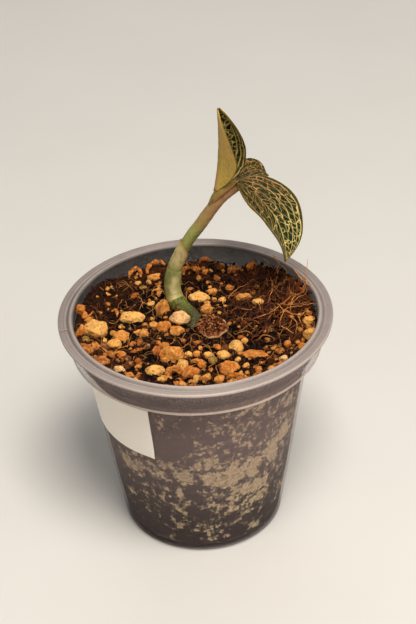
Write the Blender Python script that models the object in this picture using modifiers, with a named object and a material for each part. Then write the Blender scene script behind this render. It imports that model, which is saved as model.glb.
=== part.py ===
"""Potted jewel orchid: a clear nursery pot filled with gritty peat, and a young plant with three leaves.

Millimetres in the code, metres in the scene. The origin is the middle of the pot's base, on the
surface that it stands on. The front, where the label's edge shows, is -Y. The plant grows up +Z.
"""

import math
import random

import bmesh
import bpy
from mathutils import Matrix, Vector, noise

MM = 0.001
SEED = 23
GAP = 0.3  # between neighbouring pieces
ROUND_STEPS = 48  # sides of every turned piece

# Pot
POT_HEIGHT = 81.0
RIM_RADIUS = 45.0
RIM_INNER_RADIUS = 40.0
RIM_THICKNESS = 1.3
COLLAR_RADIUS = 40.8
SHOULDER_HEIGHT = 69.6  # where the collar steps in to the wall
BEAD_RADIUS = 41.4
WALL_THICKNESS = 0.8
WALL_TOP_RADIUS = 37.4
WALL_LOW_RADIUS = 29.9
WALL_LOW_HEIGHT = 17.6
FOOT_RADIUS = 27.0
FOOT_RING = (22.0, 25.4)  # the flat ring that the pot stands on
FLOOR_UNDER = 1.2
FLOOR_TOP = 2.0
DRAIN_RADIUS = 2.5
DRAIN_CIRCLE = 14.0
DRAIN_COUNT = 6

# Soil
SOIL_LEVEL = 72.8
SOIL_RING_STEP = 4.0
SOIL_RELIEF = 0.9
MAT_CENTRE = (28.5, 19.0)  # hummock of roots at the right and back
MAT_SPREAD = (9.0, 13.0)
MAT_HEIGHT = 3.6
SMALL_GRAINS = 26

# The large grains, as they lie: x, y, length, breadth, turn in degrees.
LARGE_GRAINS = (
    (-32, 1, 7.6, 7.0, 0), (-20, 6, 8.4, 5.4, -10), (-13, 11, 6.0, 5.6, 30), (-8, 3, 5.4, 4.4, 60),
    (-13, 0, 4.4, 3.6, 90), (1, 19, 7.2, 4.6, 5), (8, 22, 4.0, 3.6, 0), (9, 15, 3.8, 3.4, 40),
    (5, 12, 5.2, 3.8, -20), (14, 25, 3.6, 3.2, 0), (17, 15, 5.2, 4.0, 15), (13, -11, 5.6, 5.2, 0),
    (18, -15, 9.0, 4.0, 5), (8, -16, 4.8, 4.0, 30), (34, -6, 4.6, 4.0, 80), (27, -18, 3.8, 3.6, 0),
    (32, -13, 3.6, 3.4, 40), (9, -23, 6.4, 6.0, 20), (14, -28, 7.0, 3.8, -15), (2, -28, 4.4, 4.2, 0),
    (0, -18, 5.0, 4.0, 10), (-2, -24, 5.0, 4.6, 60), (-8, -25, 6.0, 5.4, -20), (-9, -18, 7.2, 5.6, 15),
    (-15, -23, 7.4, 4.6, -10), (-18, -3, 5.2, 4.4, 20), (-25, -3, 5.2, 4.4, 70), (-27, -9, 5.2, 4.4, 0),
    (-25, -15, 4.8, 4.2, 45), (-20, -11, 4.4, 3.2, 0), (-25, -21, 4.4, 3.8, 0), (-31, -15, 4.4, 4.0, 30),
    (-34, -7, 4.0, 3.6, 0), (-34, 9, 4.2, 3.8, 60), (-13, 22, 4.6, 4.2, 0), (-21, 19, 4.8, 4.0, 20),
    (-27, 13, 3.6, 3.4, 0), (-10, 34, 6.4, 4.4, 10), (-17, 30, 5.4, 4.2, -30), (-1, 32, 5.8, 4.4, 0),
    (9, 31, 4.6, 4.2, 20), (3, 36, 4.6, 3.6, 0), (17, 33, 4.6, 4.0, 60),
)

# Thick roots that arch out of the mat and dive back into it: x, y, height over the mat.
ROOTS = (
    ((14, 30, -2.0), (19, 27, 1.2), (24, 25, 1.6), (29, 21, 1.2), (33, 15, -2.0)),
    ((20, 8, -2.0), (22, 13, 1.2), (26, 17, 1.5), (28, 22, 1.6), (27, 26, -2.0)),
    ((35, 2, -2.0), (33, 7, 1.2), (29, 11, 1.6), (26, 17, 1.0), (23, 22, -2.0)),
    ((21, 30, -2.0), (24, 27, 1.4), (28, 23, 2.2), (32, 17, 1.4), (34, 11, -2.0)),
    ((17, 20, -2.0), (21, 21, 1.0), (26, 20, 1.2), (32, 14, 1.4), (35, 7, -2.0)),
    ((30, -5, -2.0), (33, -1, 0.9), (34, 5, 1.0), (32, 11, -2.0)),
)
ROOT_RADIUS = 0.9

# Stem: x, y, z and radius along its middle, from the buried end of the rhizome to the top.
STEM = (
    (-1.8, 2.4, 70.8, 1.8), (-0.6, 5.0, 72.0, 2.3), (-0.8, 8.0, 72.6, 2.5), (-2.6, 11.2, 72.6, 2.7),
    (-4.9, 14.4, 72.9, 2.9), (-6.7, 16.9, 74.8, 2.95), (-7.4, 17.6, 78.4, 2.85), (-7.0, 17.5, 82.9, 2.75),
    (-6.0, 17.3, 87.6, 2.25), (-4.2, 17.1, 91.8, 2.1), (-2.2, 16.9, 96.1, 2.05), (0.1, 16.7, 99.9, 2.1),
    (2.7, 16.5, 103.5, 2.15), (5.2, 16.2, 107.5, 2.15), (8.1, 15.9, 111.6, 1.95), (10.5, 15.7, 114.1, 1.6),
    (12.6, 15.5, 115.9, 1.45), (14.9, 15.2, 117.8, 1.3),
)
STEM_STEPS = 2  # interpolated points between two driving ones
SHEATH = (8, 11)  # driving points between which the papery sheath is wrapped
SHEATH_EXTRA = 0.45
SHEATH_MOUTH = (-2.4, 16.9, 95.3)  # a point of the oblique cut at its top
SHEATH_MOUTH_NORMAL = (0.89, 0.13, 0.43)

# Leaves. Headings are degrees from +X toward +Y, pitches degrees above the horizontal.
BLADE_THICKNESS = 0.7
LEAF_ROWS = 18
LEAF_COLUMNS = 5  # on each side of the midrib
LEAVES = {
    "leaf_upright": {
        "base": (8.5, 14.6, 117.3), "petiole": ((8.0, 15.4, 113.6), 1.15),
        "heading": (190.0, 176.0), "pitch": (99.0, 86.5), "bend": 1.0,
        "length": 30.0, "half_width": 11.5, "shape": (1.05, 0.57),
        "fold": (68.0, 59.0), "curl": 33.0, "twist": (41.0, 67.0), "wave": 0.2,
    },
    "leaf_drooping": {
        "base": (14.8, 15.0, 120.2), "petiole": ((13.6, 15.4, 116.8), 1.15),
        "heading": (-6.0, -70.0), "pitch": (-32.4, -95.6), "bend": 1.73,
        "length": 33.4, "half_width": 9.8, "shape": (0.86, 1.0),
        "fold": (15.7, 32.7), "curl": 0.0, "twist": (-30.0, 30.0), "wave": 0.25,
    },
    "leaf_back": {
        "base": (13.7, 19.1, 117.7), "petiole": ((11.6, 16.6, 115.6), 0.85),
        "heading": (23.0, 53.0), "pitch": (30.0, -68.0), "bend": 1.27,
        "length": 17.0, "half_width": 4.4, "shape": (0.6, 0.75),
        "fold": (17.0, 17.0), "curl": 3.0, "twist": (-11.0, -36.0), "wave": 0.1,
    },
}
# The upright leaf's clasping base, which lies along the stem: x, y, z and radius.
CLASP = ((7.0, 15.3, 113.5, 0.9), (8.4, 14.9, 115.6, 1.25), (9.8, 14.8, 116.9, 1.2), (11.1, 14.7, 117.9, 0.85))
MIDRIB_TIP_RADIUS = 0.45

# Label: turned round the wall from its near edge, seen from above, 0 at the front.
LABEL_ANGLES = (-26.0, -99.0)
LABEL_HEIGHTS = (44.6, 66.4)
LABEL_THICKNESS = 0.3

# Husk of bark on the soil: the height of its rim, how far the rim rises toward the back, the
# depth of its hollow and of its belly below, and the peak on its back edge.
BARK_CENTRE = (5.3, -0.7)
BARK_SIZE = (10.4, 8.4)
BARK_LEVEL = 74.9
BARK_TIP = 1.3
BARK_HOLLOW = 1.2
BARK_BELLY = 1.0
BARK_PEAK = 0.9
BARK_THICKNESS = 0.7
BARK_TURN = 5.0
BARK_STEPS = 8


def wall_radius(z):
    """Outside radius of the tapering wall at height z."""
    if z < WALL_LOW_HEIGHT:
        return FOOT_RADIUS + (WALL_LOW_RADIUS - FOOT_RADIUS) * z / WALL_LOW_HEIGHT
    share = (z - WALL_LOW_HEIGHT) / (SHOULDER_HEIGHT - WALL_LOW_HEIGHT)
    return WALL_LOW_RADIUS + (WALL_TOP_RADIUS - WALL_LOW_RADIUS) * share


def material(name, colour, roughness, alpha=1.0):
    made = bpy.data.materials.new(name)
    made.use_nodes = True
    shader = made.node_tree.nodes["Principled BSDF"]
    shader.inputs["Base Color"].default_value = (*colour, 1.0)
    shader.inputs["Roughness"].default_value = roughness
    shader.inputs["Metallic"].default_value = 0.0
    shader.inputs["Alpha"].default_value = alpha
    return made


def collection(name):
    made = bpy.data.collections.new(name)
    bpy.context.scene.collection.children.link(made)
    return made


def place(name, mesh, where, look=None):
    obj = bpy.data.objects.new(name, mesh)
    where.objects.link(obj)
    if look:
        mesh.materials.clear()
        mesh.materials.append(look)
    return obj


def helper(obj):
    """Marks a cutter or another shape that isn't a piece of the object."""
    obj.hide_render = True
    obj.display_type = "WIRE"
    return obj


def evaluated_mesh(obj):
    graph = bpy.context.evaluated_depsgraph_get()
    mesh = bpy.data.meshes.new_from_object(obj.evaluated_get(graph))
    mesh.name = obj.name
    return mesh


def apply_modifiers(obj):
    mesh = evaluated_mesh(obj)
    obj.modifiers.clear()
    obj.data = mesh


def smooth(obj, angle=35.0):
    obj.data.shade_smooth()
    obj.data.set_sharp_from_angle(angle=math.radians(angle))


def turned(name, profile, where, look=None):
    """A profile of (radius, height), top to bottom down the outside, turned round Z."""
    mesh = bpy.data.meshes.new(name)
    points = [(r * MM, 0.0, z * MM) for r, z in profile]
    mesh.from_pydata(points, [(i, i + 1) for i in range(len(points) - 1)], [])
    obj = place(name, mesh, where, look)
    screw = obj.modifiers.new("Turn", "SCREW")
    screw.axis = "Z"
    screw.steps = screw.render_steps = ROUND_STEPS
    screw.use_merge_vertices = True
    screw.merge_threshold = 0.00001
    screw.use_smooth_shade = True
    return obj


def curve_points(driving, steps):
    """Catmull-Rom points through tuples of any length."""
    points = [Vector(p) for p in driving]
    points = [points[0] * 2 - points[1], *points, points[-1] * 2 - points[-2]]
    found = []
    for p0, p1, p2, p3 in zip(points, points[1:], points[2:], points[3:]):
        for step in range(steps):
            t = step / steps
            found.append(
                0.5
                * (
                    p1 * 2
                    + (p2 - p0) * t
                    + (p0 * 2 - p1 * 5 + p2 * 4 - p3) * t**2
                    + (p1 * 3 - p0 - p2 * 3 + p3) * t**3
                )
            )
    found.append(points[-2])
    return found


def tube(name, points, where, extra=0.0, sides=2, look=None):
    """A closed mesh tube along points of (x, y, z, radius)."""
    curve = bpy.data.curves.new(name, "CURVE")
    curve.dimensions = "3D"
    curve.bevel_depth = MM
    curve.bevel_resolution = sides
    curve.use_fill_caps = True
    spline = curve.splines.new("POLY")
    spline.points.add(len(points) - 1)
    for knot, point in zip(spline.points, points):
        knot.co = (point[0] * MM, point[1] * MM, point[2] * MM, 1.0)
        knot.radius = point[3] + extra
    guide = place(name + "_guide", curve, where)
    mesh = evaluated_mesh(guide)
    bpy.data.objects.remove(guide)
    built = bmesh.new()
    built.from_mesh(mesh)
    bmesh.ops.remove_doubles(built, verts=built.verts, dist=1e-6)
    bmesh.ops.recalc_face_normals(built, faces=built.faces)
    built.to_mesh(mesh)
    built.free()
    return place(name, mesh, where, look)


def boolean(obj, operation, operand=None, operands=None, folded=False):
    """Adds a boolean; folded is for an object that may meet itself, such as a folded leaf."""
    made = obj.modifiers.new(operation.title(), "BOOLEAN")
    made.operation = operation
    made.solver = "EXACT"
    if operands:
        made.operand_type = "COLLECTION"
        made.collection = operands
        made.use_self = True
    else:
        made.object = operand
        made.use_self = folded
    return made


def keep_largest_body(obj):
    """Drops loose scraps, and the hollows that the union sealed."""
    built = bmesh.new()
    built.from_mesh(obj.data)
    bmesh.ops.remove_doubles(built, verts=built.verts, dist=2e-6)
    bmesh.ops.dissolve_degenerate(built, edges=built.edges, dist=1e-6)
    bmesh.ops.triangulate(built, faces=built.faces)
    left = set(built.faces)
    bodies = []
    while left:
        body = {left.pop()}
        front = list(body)
        while front:
            face = front.pop()
            for edge in face.edges:
                for other in edge.link_faces:
                    if other in left:
                        left.remove(other)
                        body.add(other)
                        front.append(other)
        bodies.append(body)

    def volume(body):
        total = 0.0
        for face in body:
            a, b, c = (v.co for v in face.verts)
            total += a.dot(b.cross(c)) / 6.0
        return total

    bodies.sort(key=volume)
    doomed = [face for body in bodies[:-1] for face in body]
    bmesh.ops.delete(built, geom=doomed, context="FACES")
    built.to_mesh(obj.data)
    built.free()


def relief(x, y):
    """Height of the soil's surface over its level, before any grain."""
    spot = Vector((x, y, 4.0))
    rough = noise.noise(spot / 9.0) * 1.3 + noise.noise(spot / 3.7) * 0.9
    mat = math.exp(-(((x - MAT_CENTRE[0]) / MAT_SPREAD[0]) ** 2) - ((y - MAT_CENTRE[1]) / MAT_SPREAD[1]) ** 2)
    return SOIL_RELIEF * rough + MAT_HEIGHT * mat


def soil_height(x, y):
    return SOIL_LEVEL + relief(x, y)


def make_pot(where, cutters):
    inner = WALL_THICKNESS
    profile = [
        (0.0, FLOOR_TOP),
        (wall_radius(2.8) - inner - 1.6, FLOOR_TOP),
        (wall_radius(2.8) - inner, 2.9),
        (WALL_LOW_RADIUS - inner, WALL_LOW_HEIGHT),
        (WALL_TOP_RADIUS - inner, SHOULDER_HEIGHT - 0.3),
        (WALL_TOP_RADIUS - 0.2, SHOULDER_HEIGHT + 0.6),
        (RIM_INNER_RADIUS - 0.4, SHOULDER_HEIGHT + 0.9),
        (RIM_INNER_RADIUS, SHOULDER_HEIGHT + 1.4),
        (RIM_INNER_RADIUS, POT_HEIGHT - 0.6),
        (RIM_INNER_RADIUS + 0.5, POT_HEIGHT),
        (RIM_INNER_RADIUS + 1.5, POT_HEIGHT),
        (RIM_INNER_RADIUS + 1.9, POT_HEIGHT - 0.45),
        (RIM_RADIUS - 0.6, POT_HEIGHT - 0.55),
        (RIM_RADIUS, POT_HEIGHT - 1.0),
        (RIM_RADIUS - 0.2, POT_HEIGHT - RIM_THICKNESS - 0.2),
        (COLLAR_RADIUS + 0.4, POT_HEIGHT - RIM_THICKNESS),
        (COLLAR_RADIUS, POT_HEIGHT - RIM_THICKNESS - 0.5),
        (COLLAR_RADIUS, SHOULDER_HEIGHT + 1.4),
        (BEAD_RADIUS, SHOULDER_HEIGHT + 1.0),
        (BEAD_RADIUS, SHOULDER_HEIGHT + 0.3),
        (BEAD_RADIUS - 0.4, SHOULDER_HEIGHT),
        (WALL_TOP_RADIUS + 0.5, SHOULDER_HEIGHT - 0.2),
        (WALL_TOP_RADIUS, SHOULDER_HEIGHT - 0.8),
        (WALL_LOW_RADIUS, WALL_LOW_HEIGHT),
        (wall_radius(1.2), 1.2),
        (FOOT_RADIUS - 0.6, 0.3),
        (FOOT_RING[1], 0.0),
        (FOOT_RING[0], 0.0),
        (FOOT_RING[0] - 0.9, FLOOR_UNDER),
        (0.0, FLOOR_UNDER),
    ]
    pot = turned("pot", profile, where, material("pot_plastic", (0.36, 0.33, 0.34), 0.35, 0.45))
    places = [(0.0, 0.0)]
    for i in range(DRAIN_COUNT):
        turn = math.tau * i / DRAIN_COUNT
        places.append((DRAIN_CIRCLE * math.cos(turn), DRAIN_CIRCLE * math.sin(turn)))
    for i, (x, y) in enumerate(places):
        bpy.ops.mesh.primitive_cylinder_add(
            vertices=16, radius=DRAIN_RADIUS * MM, depth=4 * MM, location=(x * MM, y * MM, 1.6 * MM)
        )
        cutter = helper(bpy.context.object)
        cutter.name = f"drain_cutter_{i}"
        bpy.context.collection.objects.unlink(cutter)
        cutters.objects.link(cutter)
        boolean(pot, "DIFFERENCE", cutter)
    return pot


def grain(name, x, y, length, breadth, turn, draw, detail, where):
    """A pumice-like grain: a dented ball, sunk to about its middle."""
    built = bmesh.new()
    if detail == 1:
        bmesh.ops.create_icosphere(built, subdivisions=1, radius=1.0)
    else:
        bmesh.ops.create_uvsphere(built, u_segments=7, v_segments=4, radius=1.0)
    offset = Vector([draw.uniform(-50, 50) for _ in range(3)])
    for vert in built.verts:
        vert.co *= 1.0 + 0.22 * noise.noise(vert.co * 1.4 + offset)
    tall = 0.82 * math.sqrt(length * breadth)
    bmesh.ops.scale(built, vec=(length / 2 * MM, breadth / 2 * MM, tall / 2 * MM), verts=built.verts)
    lean = Matrix.Rotation(draw.uniform(-0.25, 0.25), 3, "X") @ Matrix.Rotation(draw.uniform(-0.25, 0.25), 3, "Y")
    bmesh.ops.rotate(built, matrix=Matrix.Rotation(math.radians(turn), 3, "Z") @ lean, verts=built.verts)
    height = soil_height(x, y) + tall * 0.1
    bmesh.ops.translate(built, vec=(x * MM, y * MM, height * MM), verts=built.verts)
    mesh = bpy.data.meshes.new(name)
    built.to_mesh(mesh)
    built.free()
    return place(name, mesh, where)


def free_places(count, draw, keep_clear):
    """Seeded places for the small grains, apart from each other and from the listed discs."""
    found = []
    while len(found) < count:
        radius = 36.5 * math.sqrt(draw.random())
        turn = draw.uniform(0, math.tau)
        x, y = radius * math.cos(turn), radius * math.sin(turn)
        size = draw.uniform(1.8, 3.2)
        if all(math.hypot(x - a, y - b) > (size + c) / 2 + 0.2 for a, b, c in keep_clear + found):
            found.append((x, y, size))
    return found


def make_soil(where, cutters, stem_space, bark_space):
    repeats = collection("soil_repeats")
    draw = random.Random(SEED)
    level = [(0.0, SOIL_LEVEL)]
    edge = RIM_INNER_RADIUS - GAP
    rings = int(edge / SOIL_RING_STEP)
    level += [(ring * edge / (rings + 0.2), SOIL_LEVEL) for ring in range(1, rings + 1)]
    inner = WALL_THICKNESS + GAP
    profile = level + [
        (edge, SOIL_LEVEL - 0.4),
        (edge, SHOULDER_HEIGHT + 1.6),
        (edge - 0.4, SHOULDER_HEIGHT + 1.2),
        (WALL_TOP_RADIUS - 0.4, SHOULDER_HEIGHT + 0.9),
        (WALL_TOP_RADIUS - inner, SHOULDER_HEIGHT - 0.2),
        (WALL_LOW_RADIUS - inner, WALL_LOW_HEIGHT),
        (wall_radius(2.8) - inner, 3.2),
        (wall_radius(2.8) - inner - 1.6, FLOOR_TOP + GAP),
        (0.0, FLOOR_TOP + GAP),
    ]
    soil = turned("soil", profile, where, material("peat", (0.035, 0.022, 0.014), 0.95))
    apply_modifiers(soil)
    for vert in soil.data.vertices:
        if vert.co.z > (SOIL_LEVEL - 0.6) * MM:
            x, y = vert.co.x / MM, vert.co.y / MM
            vert.co.z += relief(x, y) * (0.5 if math.hypot(x, y) > edge - 1.0 else 1.0) * MM
    for i, (x, y, length, breadth, turn) in enumerate(LARGE_GRAINS):
        grain(f"large_{i}", x, y, length, breadth, turn, draw, 2, repeats)
    taken = [(g[0], g[1], g[2]) for g in LARGE_GRAINS]
    taken += [(x, y, 6.0) for x, y, z, r in STEM[:7]] + [(*BARK_CENTRE, 10.0)]
    for i, (x, y, size) in enumerate(free_places(SMALL_GRAINS, draw, taken)):
        grain(f"small_{i}", x, y, size, size * 0.8, draw.uniform(0, 180), draw, 1, repeats)
    for i, route in enumerate(ROOTS):
        path = [(x, y, soil_height(x, y) + rise, ROOT_RADIUS) for x, y, rise in route]
        tube(f"root_{i}", curve_points(path, 3), repeats, sides=1)
    boolean(soil, "UNION", operands=repeats)
    boolean(soil, "DIFFERENCE", stem_space)
    boolean(soil, "DIFFERENCE", bark_space)
    apply_modifiers(soil)
    for obj in list(repeats.objects):
        bpy.data.objects.remove(obj)
    bpy.data.collections.remove(repeats)
    keep_largest_body(soil)
    return soil


def make_stem(where, cutters):
    path = curve_points(STEM, STEM_STEPS)
    stem = tube("stem", path, where, look=material("stem_skin", (0.25, 0.33, 0.13), 0.5))
    low, high = (index * STEM_STEPS for index in SHEATH)
    wrap = [
        (*point[:3], point[3] + SHEATH_EXTRA * (0.5 + 0.7 * i / (high - low)))
        for i, point in enumerate(path[low : high + 1])
    ]
    sheath = helper(tube("sheath", wrap, cutters))
    built = bmesh.new()
    built.from_mesh(sheath.data)
    cut = bmesh.ops.bisect_plane(
        built,
        geom=[*built.verts, *built.edges, *built.faces],
        plane_co=Vector(SHEATH_MOUTH) * MM,
        plane_no=Vector(SHEATH_MOUTH_NORMAL),
        clear_outer=True,
    )
    rim = [item for item in cut["geom_cut"] if isinstance(item, bmesh.types.BMEdge)]
    bmesh.ops.contextual_create(built, geom=rim)
    bmesh.ops.recalc_face_normals(built, faces=built.faces)
    built.to_mesh(sheath.data)
    built.free()
    boolean(stem, "UNION", sheath)
    space = helper(tube("stem_space", path, cutters, extra=GAP))
    sheath_space = tube("sheath_space", wrap, cutters, extra=GAP)
    boolean(space, "UNION", helper(sheath_space))
    return stem, space


def leaf_frame(leaf, u):
    """Heading, pitch, fold, twist and half width at the share u of the blade's length."""

    def between(ends, share):
        return ends[0] + (ends[1] - ends[0]) * share

    a, b = leaf["shape"]
    peak = a / (a + b)
    width = leaf["half_width"] * (u**a * (1 - u) ** b) / (peak**a * (1 - peak) ** b)
    return (
        math.radians(between(leaf["heading"], u)),
        math.radians(between(leaf["pitch"], u ** leaf["bend"])),
        math.radians(between(leaf["fold"], u)),
        math.radians(between(leaf["twist"], u)),
        width,
    )


def leaf_spine(leaf, steps):
    """Midrib points with their side and upward directions."""
    point = Vector(leaf["base"])
    found = []
    last = None
    for step in range(steps + 1):
        heading, pitch, fold, twist, width = leaf_frame(leaf, step / steps)
        along = Vector((math.cos(pitch) * math.cos(heading), math.cos(pitch) * math.sin(heading), math.sin(pitch)))
        if last:
            point = point + (along + last) / 2 * leaf["length"] / steps
        last = along
        side = Vector((math.sin(heading), -math.cos(heading), 0.0))
        up = side.cross(along)
        turned_side = side * math.cos(twist) + up * math.sin(twist)
        turned_up = up * math.cos(twist) - side * math.sin(twist)
        found.append((point.copy(), turned_side, turned_up, fold, width))
    return found


def blade_point(leaf, station, u, v):
    """A point of the blade: u along it, v from -1 to 1 across it."""
    middle, side, up, fold, width = station
    curl = math.radians(leaf["curl"]) or 1e-4
    reach = abs(v)
    out = (math.sin(fold + curl * reach) - math.sin(fold)) / curl
    lift = (math.cos(fold) - math.cos(fold + curl * reach)) / curl
    wave = leaf["wave"] * reach**2 * math.sin(u * 17.0 + (1.3 if v > 0 else 0.0)) * math.sin(math.pi * u)
    return middle + side * math.copysign(out * width, v) + up * (lift * width + wave)


def make_leaf(name, where, cutters, look, stem_space):
    leaf = LEAVES[name]
    spine = leaf_spine(leaf, LEAF_ROWS)
    built = bmesh.new()
    rows = []
    for row, station in enumerate(spine):
        u = row / LEAF_ROWS
        if row in (0, LEAF_ROWS):
            rows.append([built.verts.new(station[0] * MM)] * (2 * LEAF_COLUMNS + 1))
            continue
        rows.append(
            [
                built.verts.new(blade_point(leaf, station, u, column / LEAF_COLUMNS) * MM)
                for column in range(-LEAF_COLUMNS, LEAF_COLUMNS + 1)
            ]
        )
    for low, high in zip(rows, rows[1:]):
        for i in range(2 * LEAF_COLUMNS):
            corners = []
            for vert in (low[i], low[i + 1], high[i + 1], high[i]):
                if vert not in corners:
                    corners.append(vert)
            if len(corners) > 2:
                built.faces.new(corners)
    bmesh.ops.triangulate(built, faces=built.faces)
    mesh = bpy.data.meshes.new(name)
    built.to_mesh(mesh)
    built.free()
    blade = place(name, mesh, where, look)
    solid = blade.modifiers.new("Thickness", "SOLIDIFY")
    solid.thickness = BLADE_THICKNESS * MM
    solid.offset = 0.0
    apply_modifiers(blade)

    start, width = leaf["petiole"]
    first = spine[0]
    route = [(*start, width), (*((first[0] + Vector(start)) / 2), width)]
    for row, station in enumerate(spine[:-2]):
        share = row / LEAF_ROWS
        radius = width + (MIDRIB_TIP_RADIUS - width) * min(1.0, share * 1.8)
        route.append((*(station[0] - station[2] * 0.25), radius))
    rib = helper(tube(name + "_rib", route, cutters, sides=1))
    boolean(blade, "UNION", rib, folded=True)
    if name == "leaf_upright":
        clasp = helper(tube("clasp", curve_points(CLASP, 3), cutters))
        boolean(blade, "UNION", clasp, folded=True)
    boolean(blade, "DIFFERENCE", stem_space)
    apply_modifiers(blade)
    keep_largest_body(blade)
    return blade


def make_label(where, look):
    built = bmesh.new()
    bmesh.ops.create_grid(built, x_segments=24, y_segments=3, size=0.5)
    near, far = LABEL_ANGLES
    for vert in built.verts:
        turn = math.radians(near + (far - near) * (0.5 - vert.co.x))
        z = LABEL_HEIGHTS[0] + (LABEL_HEIGHTS[1] - LABEL_HEIGHTS[0]) * (vert.co.y + 0.5)
        r = wall_radius(z) + GAP + LABEL_THICKNESS / 2
        vert.co = Vector((r * math.sin(turn), -r * math.cos(turn), z)) * MM
    bmesh.ops.recalc_face_normals(built, faces=built.faces)
    mesh = bpy.data.meshes.new("label")
    built.to_mesh(mesh)
    built.free()
    label = place("label", mesh, where, look)
    solid = label.modifiers.new("Thickness", "SOLIDIFY")
    solid.thickness = LABEL_THICKNESS * MM
    solid.offset = 0.0
    return label


def bark_husk(name, where, grow, look=None):
    """The shrivelled husk of bark, tipped toward the front, or with grow the space that it needs."""
    built = bmesh.new()
    turn = Matrix.Rotation(math.radians(BARK_TURN), 3, "Z")
    layers = []
    for under in (False, True):
        layer = []
        for i in range(BARK_STEPS + 1):
            for j in range(BARK_STEPS + 1):
                s, t = i / BARK_STEPS * 2 - 1, j / BARK_STEPS * 2 - 1
                s, t = s * math.sqrt(1 - t * t / 2), t * math.sqrt(1 - s * s / 2)
                reach = math.hypot(s, t)
                z = BARK_LEVEL + BARK_TIP * t - BARK_HOLLOW * (1 - reach**2)
                z += BARK_PEAK * math.exp(-(((s + 0.3) / 0.3) ** 2) - ((t - 0.95) / 0.4) ** 2)
                z += -BARK_THICKNESS - BARK_BELLY * (1 - reach**2) - grow if under else grow
                x, y, _ = turn @ Vector((s * (BARK_SIZE[0] / 2 + grow), t * (BARK_SIZE[1] / 2 + grow), 0.0))
                layer.append(built.verts.new(Vector((BARK_CENTRE[0] + x, BARK_CENTRE[1] + y, z)) * MM))
        layers.append(layer)
    row = BARK_STEPS + 1
    for layer in layers:
        for i in range(BARK_STEPS):
            for j in range(BARK_STEPS):
                at = i * row + j
                built.faces.new([layer[at], layer[at + row], layer[at + row + 1], layer[at + 1]])
    around = [j for j in range(row)] + [i * row + row - 1 for i in range(1, row)]
    around += [(row - 1) * row + j for j in range(row - 2, -1, -1)] + [i * row for i in range(row - 2, 0, -1)]
    for here, after in zip(around, around[1:] + around[:1]):
        built.faces.new([layers[0][here], layers[0][after], layers[1][after], layers[1][here]])
    bmesh.ops.triangulate(built, faces=built.faces)
    bmesh.ops.recalc_face_normals(built, faces=built.faces)
    mesh = bpy.data.meshes.new(name)
    built.to_mesh(mesh)
    built.free()
    return place(name, mesh, where, look)


def main():
    for obj in list(bpy.data.objects):
        bpy.data.objects.remove(obj)
    parts = collection("potted_jewel_orchid")
    cutters = collection("cutters")

    make_pot(parts, cutters)
    stem, stem_space = make_stem(parts, cutters)
    bark = bark_husk("bark_piece", parts, 0.0, material("bark", (0.12, 0.065, 0.04), 0.85))
    bark_space = helper(bark_husk("bark_space", cutters, GAP))
    boolean(bark, "DIFFERENCE", stem_space)
    make_soil(parts, cutters, stem_space, bark_space)
    green = material("leaf_green", (0.03, 0.06, 0.022), 0.45)
    for name in LEAVES:
        make_leaf(name, parts, cutters, green, stem_space)
    make_label(parts, material("label_paper", (0.85, 0.83, 0.8), 0.6))

    stand = bpy.data.objects.new("potted_jewel_orchid_origin", None)
    parts.objects.link(stand)
    for obj in parts.objects:
        if obj.type == "MESH":
            obj.parent = stand
            smooth(obj)


main()
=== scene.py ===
"""The looks of the potted jewel orchid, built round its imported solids.

Millimetres in the code, metres in the scene, in the frame of the solids: the origin is the middle
of the pot's base, the front is -Y and the plant grows up +Z. Pieces are painted with a colour for
each vertex, and their node materials add the fine grain.
"""

import math
import random

import bmesh
import bpy
import numpy as np
from mathutils import Matrix, Vector, noise


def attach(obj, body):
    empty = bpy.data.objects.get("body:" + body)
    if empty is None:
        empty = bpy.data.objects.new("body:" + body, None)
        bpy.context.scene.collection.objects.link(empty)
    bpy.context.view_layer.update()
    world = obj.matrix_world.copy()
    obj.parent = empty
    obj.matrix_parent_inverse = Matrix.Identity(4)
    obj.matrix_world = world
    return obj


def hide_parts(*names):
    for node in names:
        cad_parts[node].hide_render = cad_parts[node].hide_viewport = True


MM = 0.001
SEED = 23

# The photograph: its size in pixels, and the camera that it was taken with.
PICTURE = (416, 624)
LENS = 100.0
SENSOR = 36.0  # along the longer side
CAMERA_PLACE = (4.16, -465.16, 403.04)
CAMERA_DOWN = 34.757
CAMERA_ROLL = -2.373
PIXELS = 2.97  # in a millimetre at the middle of the pot

# Pot
POT_HEIGHT = 81.0
RIM_INNER_RADIUS = 40.0
COLLAR_RADIUS = 40.8
SHOULDER_HEIGHT = 69.6
BEAD_RADIUS = 41.4
WALL_THICKNESS = 0.8
WALL_TOP_RADIUS = 37.4
WALL_LOW_RADIUS = 29.9
WALL_LOW_HEIGHT = 17.6
FOOT_RADIUS = 27.0
FLOOR_TOP = 2.0
DRAIN_RADIUS = 2.5
DRAIN_CIRCLE = 14.0
DRAIN_COUNT = 6  # round the one in the middle
POT_SIDES = 256

# The outline of the rim, in millimetres outward from its inner edge and down from its top.
RIM_PROFILE = (
    (0.02, 0.8), (0.12, 0.4), (0.35, 0.14), (0.7, 0.02), (1.1, 0.02), (1.45, 0.16), (1.7, 0.4), (1.9, 0.62),
    (2.15, 0.72), (2.4, 0.66), (2.65, 0.52), (3.0, 0.46), (3.3, 0.54), (3.55, 0.5), (3.9, 0.42), (4.3, 0.42),
    (4.58, 0.46), (4.8, 0.58), (4.93, 0.78), (4.98, 1.05), (4.92, 1.35), (4.72, 1.52), (2.0, 1.44), (1.3, 1.5),
    (0.95, 1.68), (0.8, 2.1),
)
# The fine lines that run round the rim: radius, and the brightness of the grey there.
RIM_LINES = (
    (40.0, 40.3, 40.6, 41.2, 41.7, 42.1, 42.45, 42.7, 43.0, 43.4, 43.8, 44.1, 44.5, 44.8, 45.0),
    (140, 152, 214, 202, 158, 152, 198, 206, 168, 178, 188, 164, 184, 226, 200),
)

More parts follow.
